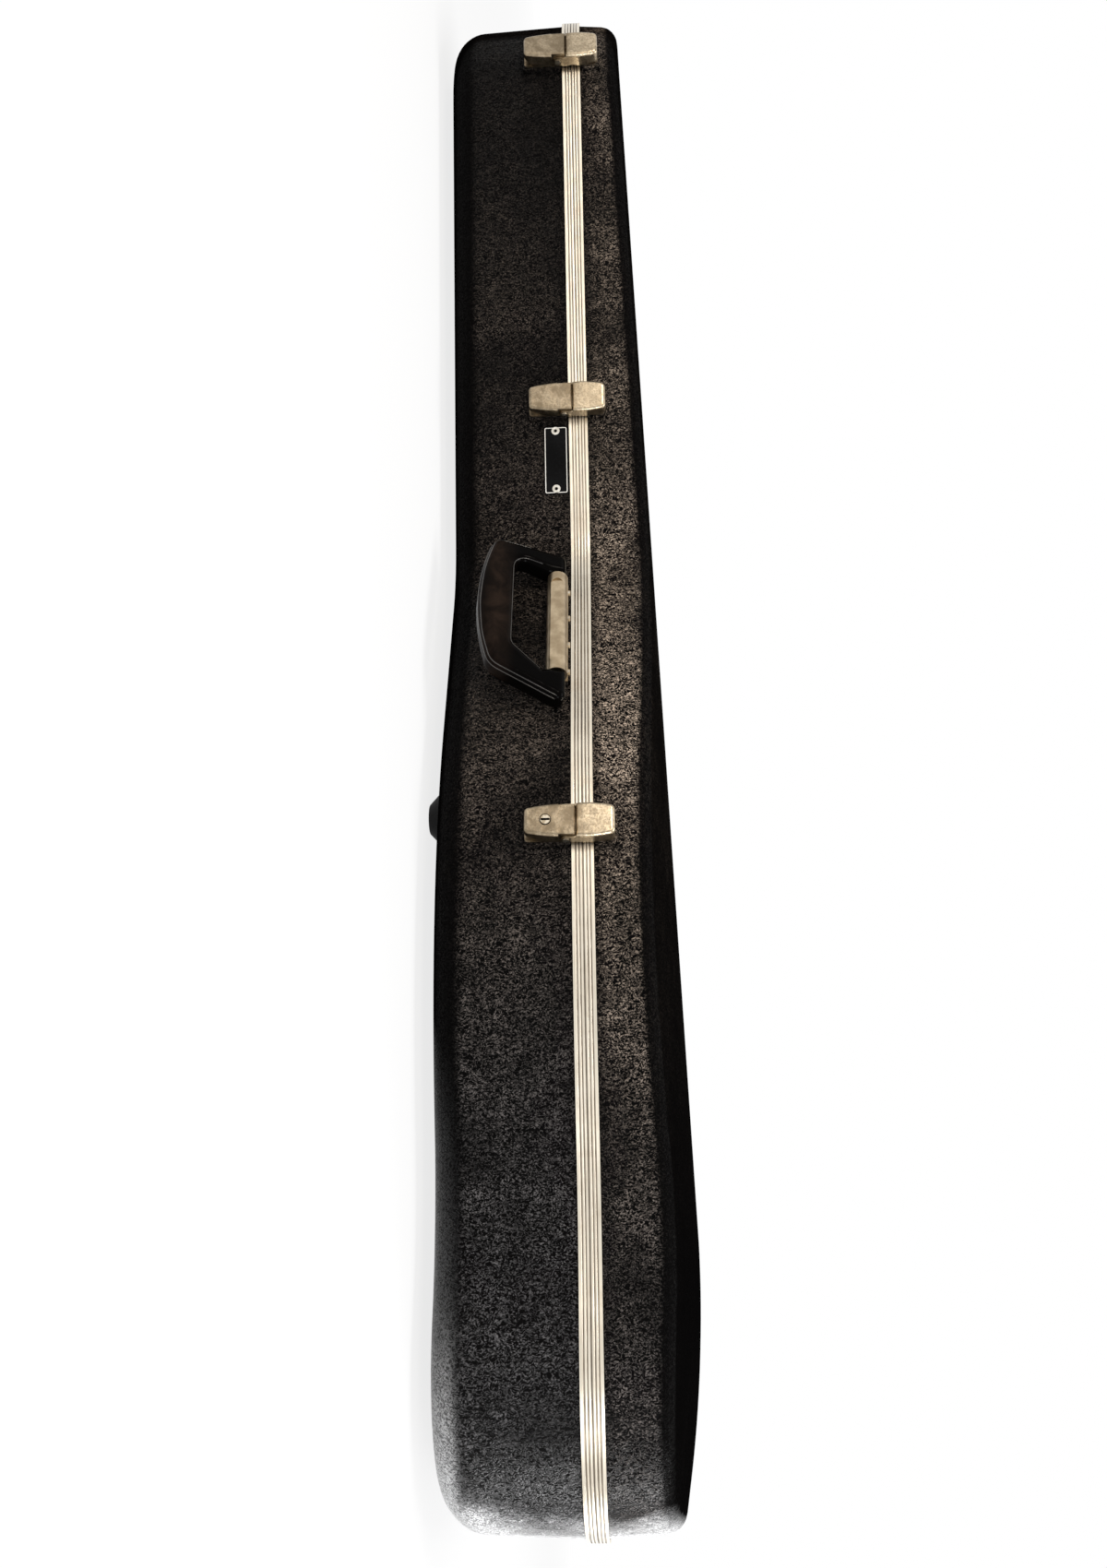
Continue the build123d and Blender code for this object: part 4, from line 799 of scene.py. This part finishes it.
def stuffed_block(node, name, body, voxel, rounds, swell):
    """Padded block: remeshed, its edges softened, its faces crowned and a little uneven."""
    copy = bpy.data.objects.new("block", nodes[node].data.copy())
    scene.collection.objects.link(copy)
    remesh = copy.modifiers.new("remesh", "REMESH")
    remesh.mode = "VOXEL"
    remesh.voxel_size = voxel * MM
    mesh = bpy.data.meshes.new_from_object(copy.evaluated_get(bpy.context.evaluated_depsgraph_get()))
    bpy.data.objects.remove(copy)
    made = bmesh.new()
    made.from_mesh(mesh)
    for _ in range(rounds):
        bmesh.ops.smooth_vert(
            made, verts=made.verts, factor=0.5, use_axis_x=True, use_axis_y=True, use_axis_z=True
        )
    made.normal_update()
    low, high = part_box(node)
    centre = (Vector(low) + Vector(high)) / 2
    half = (Vector(high) - Vector(low)) / 2
    moves = []
    for vertex in made.verts:
        share = [(vertex.co[i] - centre[i]) / half[i] for i in range(3)]
        crown = (1 - min(1, share[1] ** 2)) * (1 - min(1, share[2] ** 2))
        lumps = 0.3 * noise.noise(vertex.co * 45)
        moves.append(vertex.normal * (swell * crown * abs(vertex.normal.x) + lumps - 0.2) * MM)
    for vertex, move in zip(made.verts, moves):
        vertex.co += move
    dressed_soft(made, node, name, body, "plush")


foam_tray("base_foam", "base")
foam_tray("lid_foam", "lid")
plush_lining("base_lining", "base", 1)
plush_lining("lid_lining", "lid", -1)
stuffed_block("neck_cradle", "neck_cradle_pad", "base", 3.0, 6, 1.6)
stuffed_block("compartment_wall", "compartment_wall_pad", "base", 2.5, 3, 0.8)


# Piping sewn round the mouth of each lining
PIPING_HUB = Vector((-0.05, CENTRE_Y, 0))
PIPING_FROM_SEAM = 4.4 * MM
PIPING_RADIUS = 1.3 * MM
PIPING_STEP = 6 * MM
PIPING_SUNK = 0.2


def piping(node, name, body, height):
    """Cord sewn where the lining turns over the rim, all the way round."""
    surface = tree_of(node)
    points = []
    for k in range(360):
        angle = math.radians(k)
        away = Vector((math.cos(angle), math.sin(angle), 0))
        start = Vector((PIPING_HUB.x, PIPING_HUB.y, height))
        hit = surface.ray_cast(start, away)[0]
        points.append(hit - away * PIPING_RADIUS * PIPING_SUNK)
    count = len(points)
    path = []
    for i, point in enumerate(points):
        span = max(1, round((points[(i + 1) % count] - point).length / PIPING_STEP))
        path += [point.lerp(points[(i + 1) % count], j / span) for j in range(span)]
    for _ in range(2):
        path = [(path[i - 1] + path[i] * 2 + path[(i + 1) % len(path)]) / 4 for i in range(len(path))]
    piece = new_piece(name, tube(path, PIPING_RADIUS, closed=True), body, "plush")


piping("base_lining", "base_piping", "base", SEAM_Z - PIPING_FROM_SEAM)
piping("lid_lining", "lid_piping", "lid", SEAM_Z + PIPING_FROM_SEAM)


# Floor, backdrop and light
FLOOR_HALF = 6.0
FLOOR_GREY = (0.84, 0.84, 0.84, 1)
FLOOR_WHITE = 0.8
FLOOR_FADE = (0.7, 2.2)
WORLD_COLOUR = (0.95, 0.97, 1.0, 1)
WORLD_LIGHT = 0.35


def sees_pale(tree):
    """1 for rays that should meet the pale surroundings: camera, glossy and transmitted rays."""
    path = tree.nodes.new("ShaderNodeLightPath")
    total = path.outputs["Is Camera Ray"]
    for kind in ("Is Glossy Ray", "Is Transmission Ray"):
        most = tree.nodes.new("ShaderNodeMath")
        most.operation = "MAXIMUM"
        tree.links.new(total, most.inputs[0])
        tree.links.new(path.outputs[kind], most.inputs[1])
        total = most.outputs[0]
    return total


def make_floor():
    """Pale floor under the feet. It shows near white and keeps some of the object's shadow."""
    mesh = bpy.data.meshes.new("floor")
    corners = [(x * FLOOR_HALF, y * FLOOR_HALF, 0) for x, y in ((-1, -1), (1, -1), (1, 1), (-1, 1))]
    mesh.from_pydata(corners, [], [(0, 1, 2, 3)])
    floor = bpy.data.objects.new("floor", mesh)
    scene.collection.objects.link(floor)
    material = bpy.data.materials.new("floor")
    material.use_nodes = True
    tree = material.node_tree
    shader = tree.nodes["Principled BSDF"]
    shader.inputs["Base Color"].default_value = FLOOR_GREY
    shader.inputs["Roughness"].default_value = 0.9
    shader.inputs["Specular IOR Level"].default_value = 0.1
    white = tree.nodes.new("ShaderNodeEmission")
    blend = tree.nodes.new("ShaderNodeMixShader")
    far = tree.nodes.new("ShaderNodeVectorMath")
    far.operation = "LENGTH"
    tree.links.new(tree.nodes.new("ShaderNodeTexCoord").outputs["Object"], far.inputs[0])
    fade = tree.nodes.new("ShaderNodeMapRange")
    set_range(fade, *FLOOR_FADE, FLOOR_WHITE, 1.0)
    tree.links.new(far.outputs["Value"], fade.inputs["Value"])
    share = tree.nodes.new("ShaderNodeMath")
    share.operation = "MULTIPLY"
    tree.links.new(sees_pale(tree), share.inputs[0])
    tree.links.new(fade.outputs["Result"], share.inputs[1])
    tree.links.new(share.outputs[0], blend.inputs[0])
    tree.links.new(shader.outputs[0], blend.inputs[1])
    tree.links.new(white.outputs[0], blend.inputs[2])
    tree.links.new(blend.outputs[0], tree.nodes["Material Output"].inputs["Surface"])
    mesh.materials.append(material)


def make_world():
    """White backdrop where it is seen or reflected, and a plain grey light elsewhere."""
    world = bpy.data.worlds.new("world")
    scene.world = world
    world.use_nodes = True
    tree = world.node_tree
    plain = tree.nodes["Background"]
    plain.inputs["Color"].default_value = WORLD_COLOUR
    plain.inputs["Strength"].default_value = WORLD_LIGHT
    white = tree.nodes.new("ShaderNodeBackground")
    white.inputs["Color"].default_value = (1, 1, 1, 1)
    white.inputs["Strength"].default_value = 1.0
    blend = tree.nodes.new("ShaderNodeMixShader")
    tree.links.new(sees_pale(tree), blend.inputs[0])
    tree.links.new(plain.outputs[0], blend.inputs[1])
    tree.links.new(white.outputs[0], blend.inputs[2])
    tree.links.new(blend.outputs[0], tree.nodes["World Output"].inputs["Surface"])


def make_lamp(name, place, aim, size, power, colour=(1, 1, 1)):
    """Rectangular lamp at place, turned to aim. Its size is in metres and its power in watts."""
    data = bpy.data.lights.new(name, "AREA")
    data.shape = "RECTANGLE"
    data.size, data.size_y = size
    data.energy = power
    data.color = colour
    lamp = bpy.data.objects.new(name, data)
    lamp.location = place
    lamp.rotation_mode = "QUATERNION"
    lamp.rotation_quaternion = (Vector(aim) - Vector(place)).to_track_quat("-Z", "Y")
    scene.collection.objects.link(lamp)


make_floor()
make_world()
make_lamp("above", (0.1, -0.5, 2.0), (0.1, 0, 0.1), (1.2, 0.8), 26)
make_lamp("body_end", (1.5, 0.25, 0.32), (0.53, -0.1, 0.08), (0.5, 0.4), 9)
make_lamp("head_side", (-1.0, -1.5, 0.65), (-0.1, -0.1, 0.1), (0.45, 0.45), 13, (1.0, 0.90, 0.78))
make_lamp("body_side", (1.25, -1.25, 0.45), (0.35, -0.1, 0.08), (0.4, 0.5), 12)
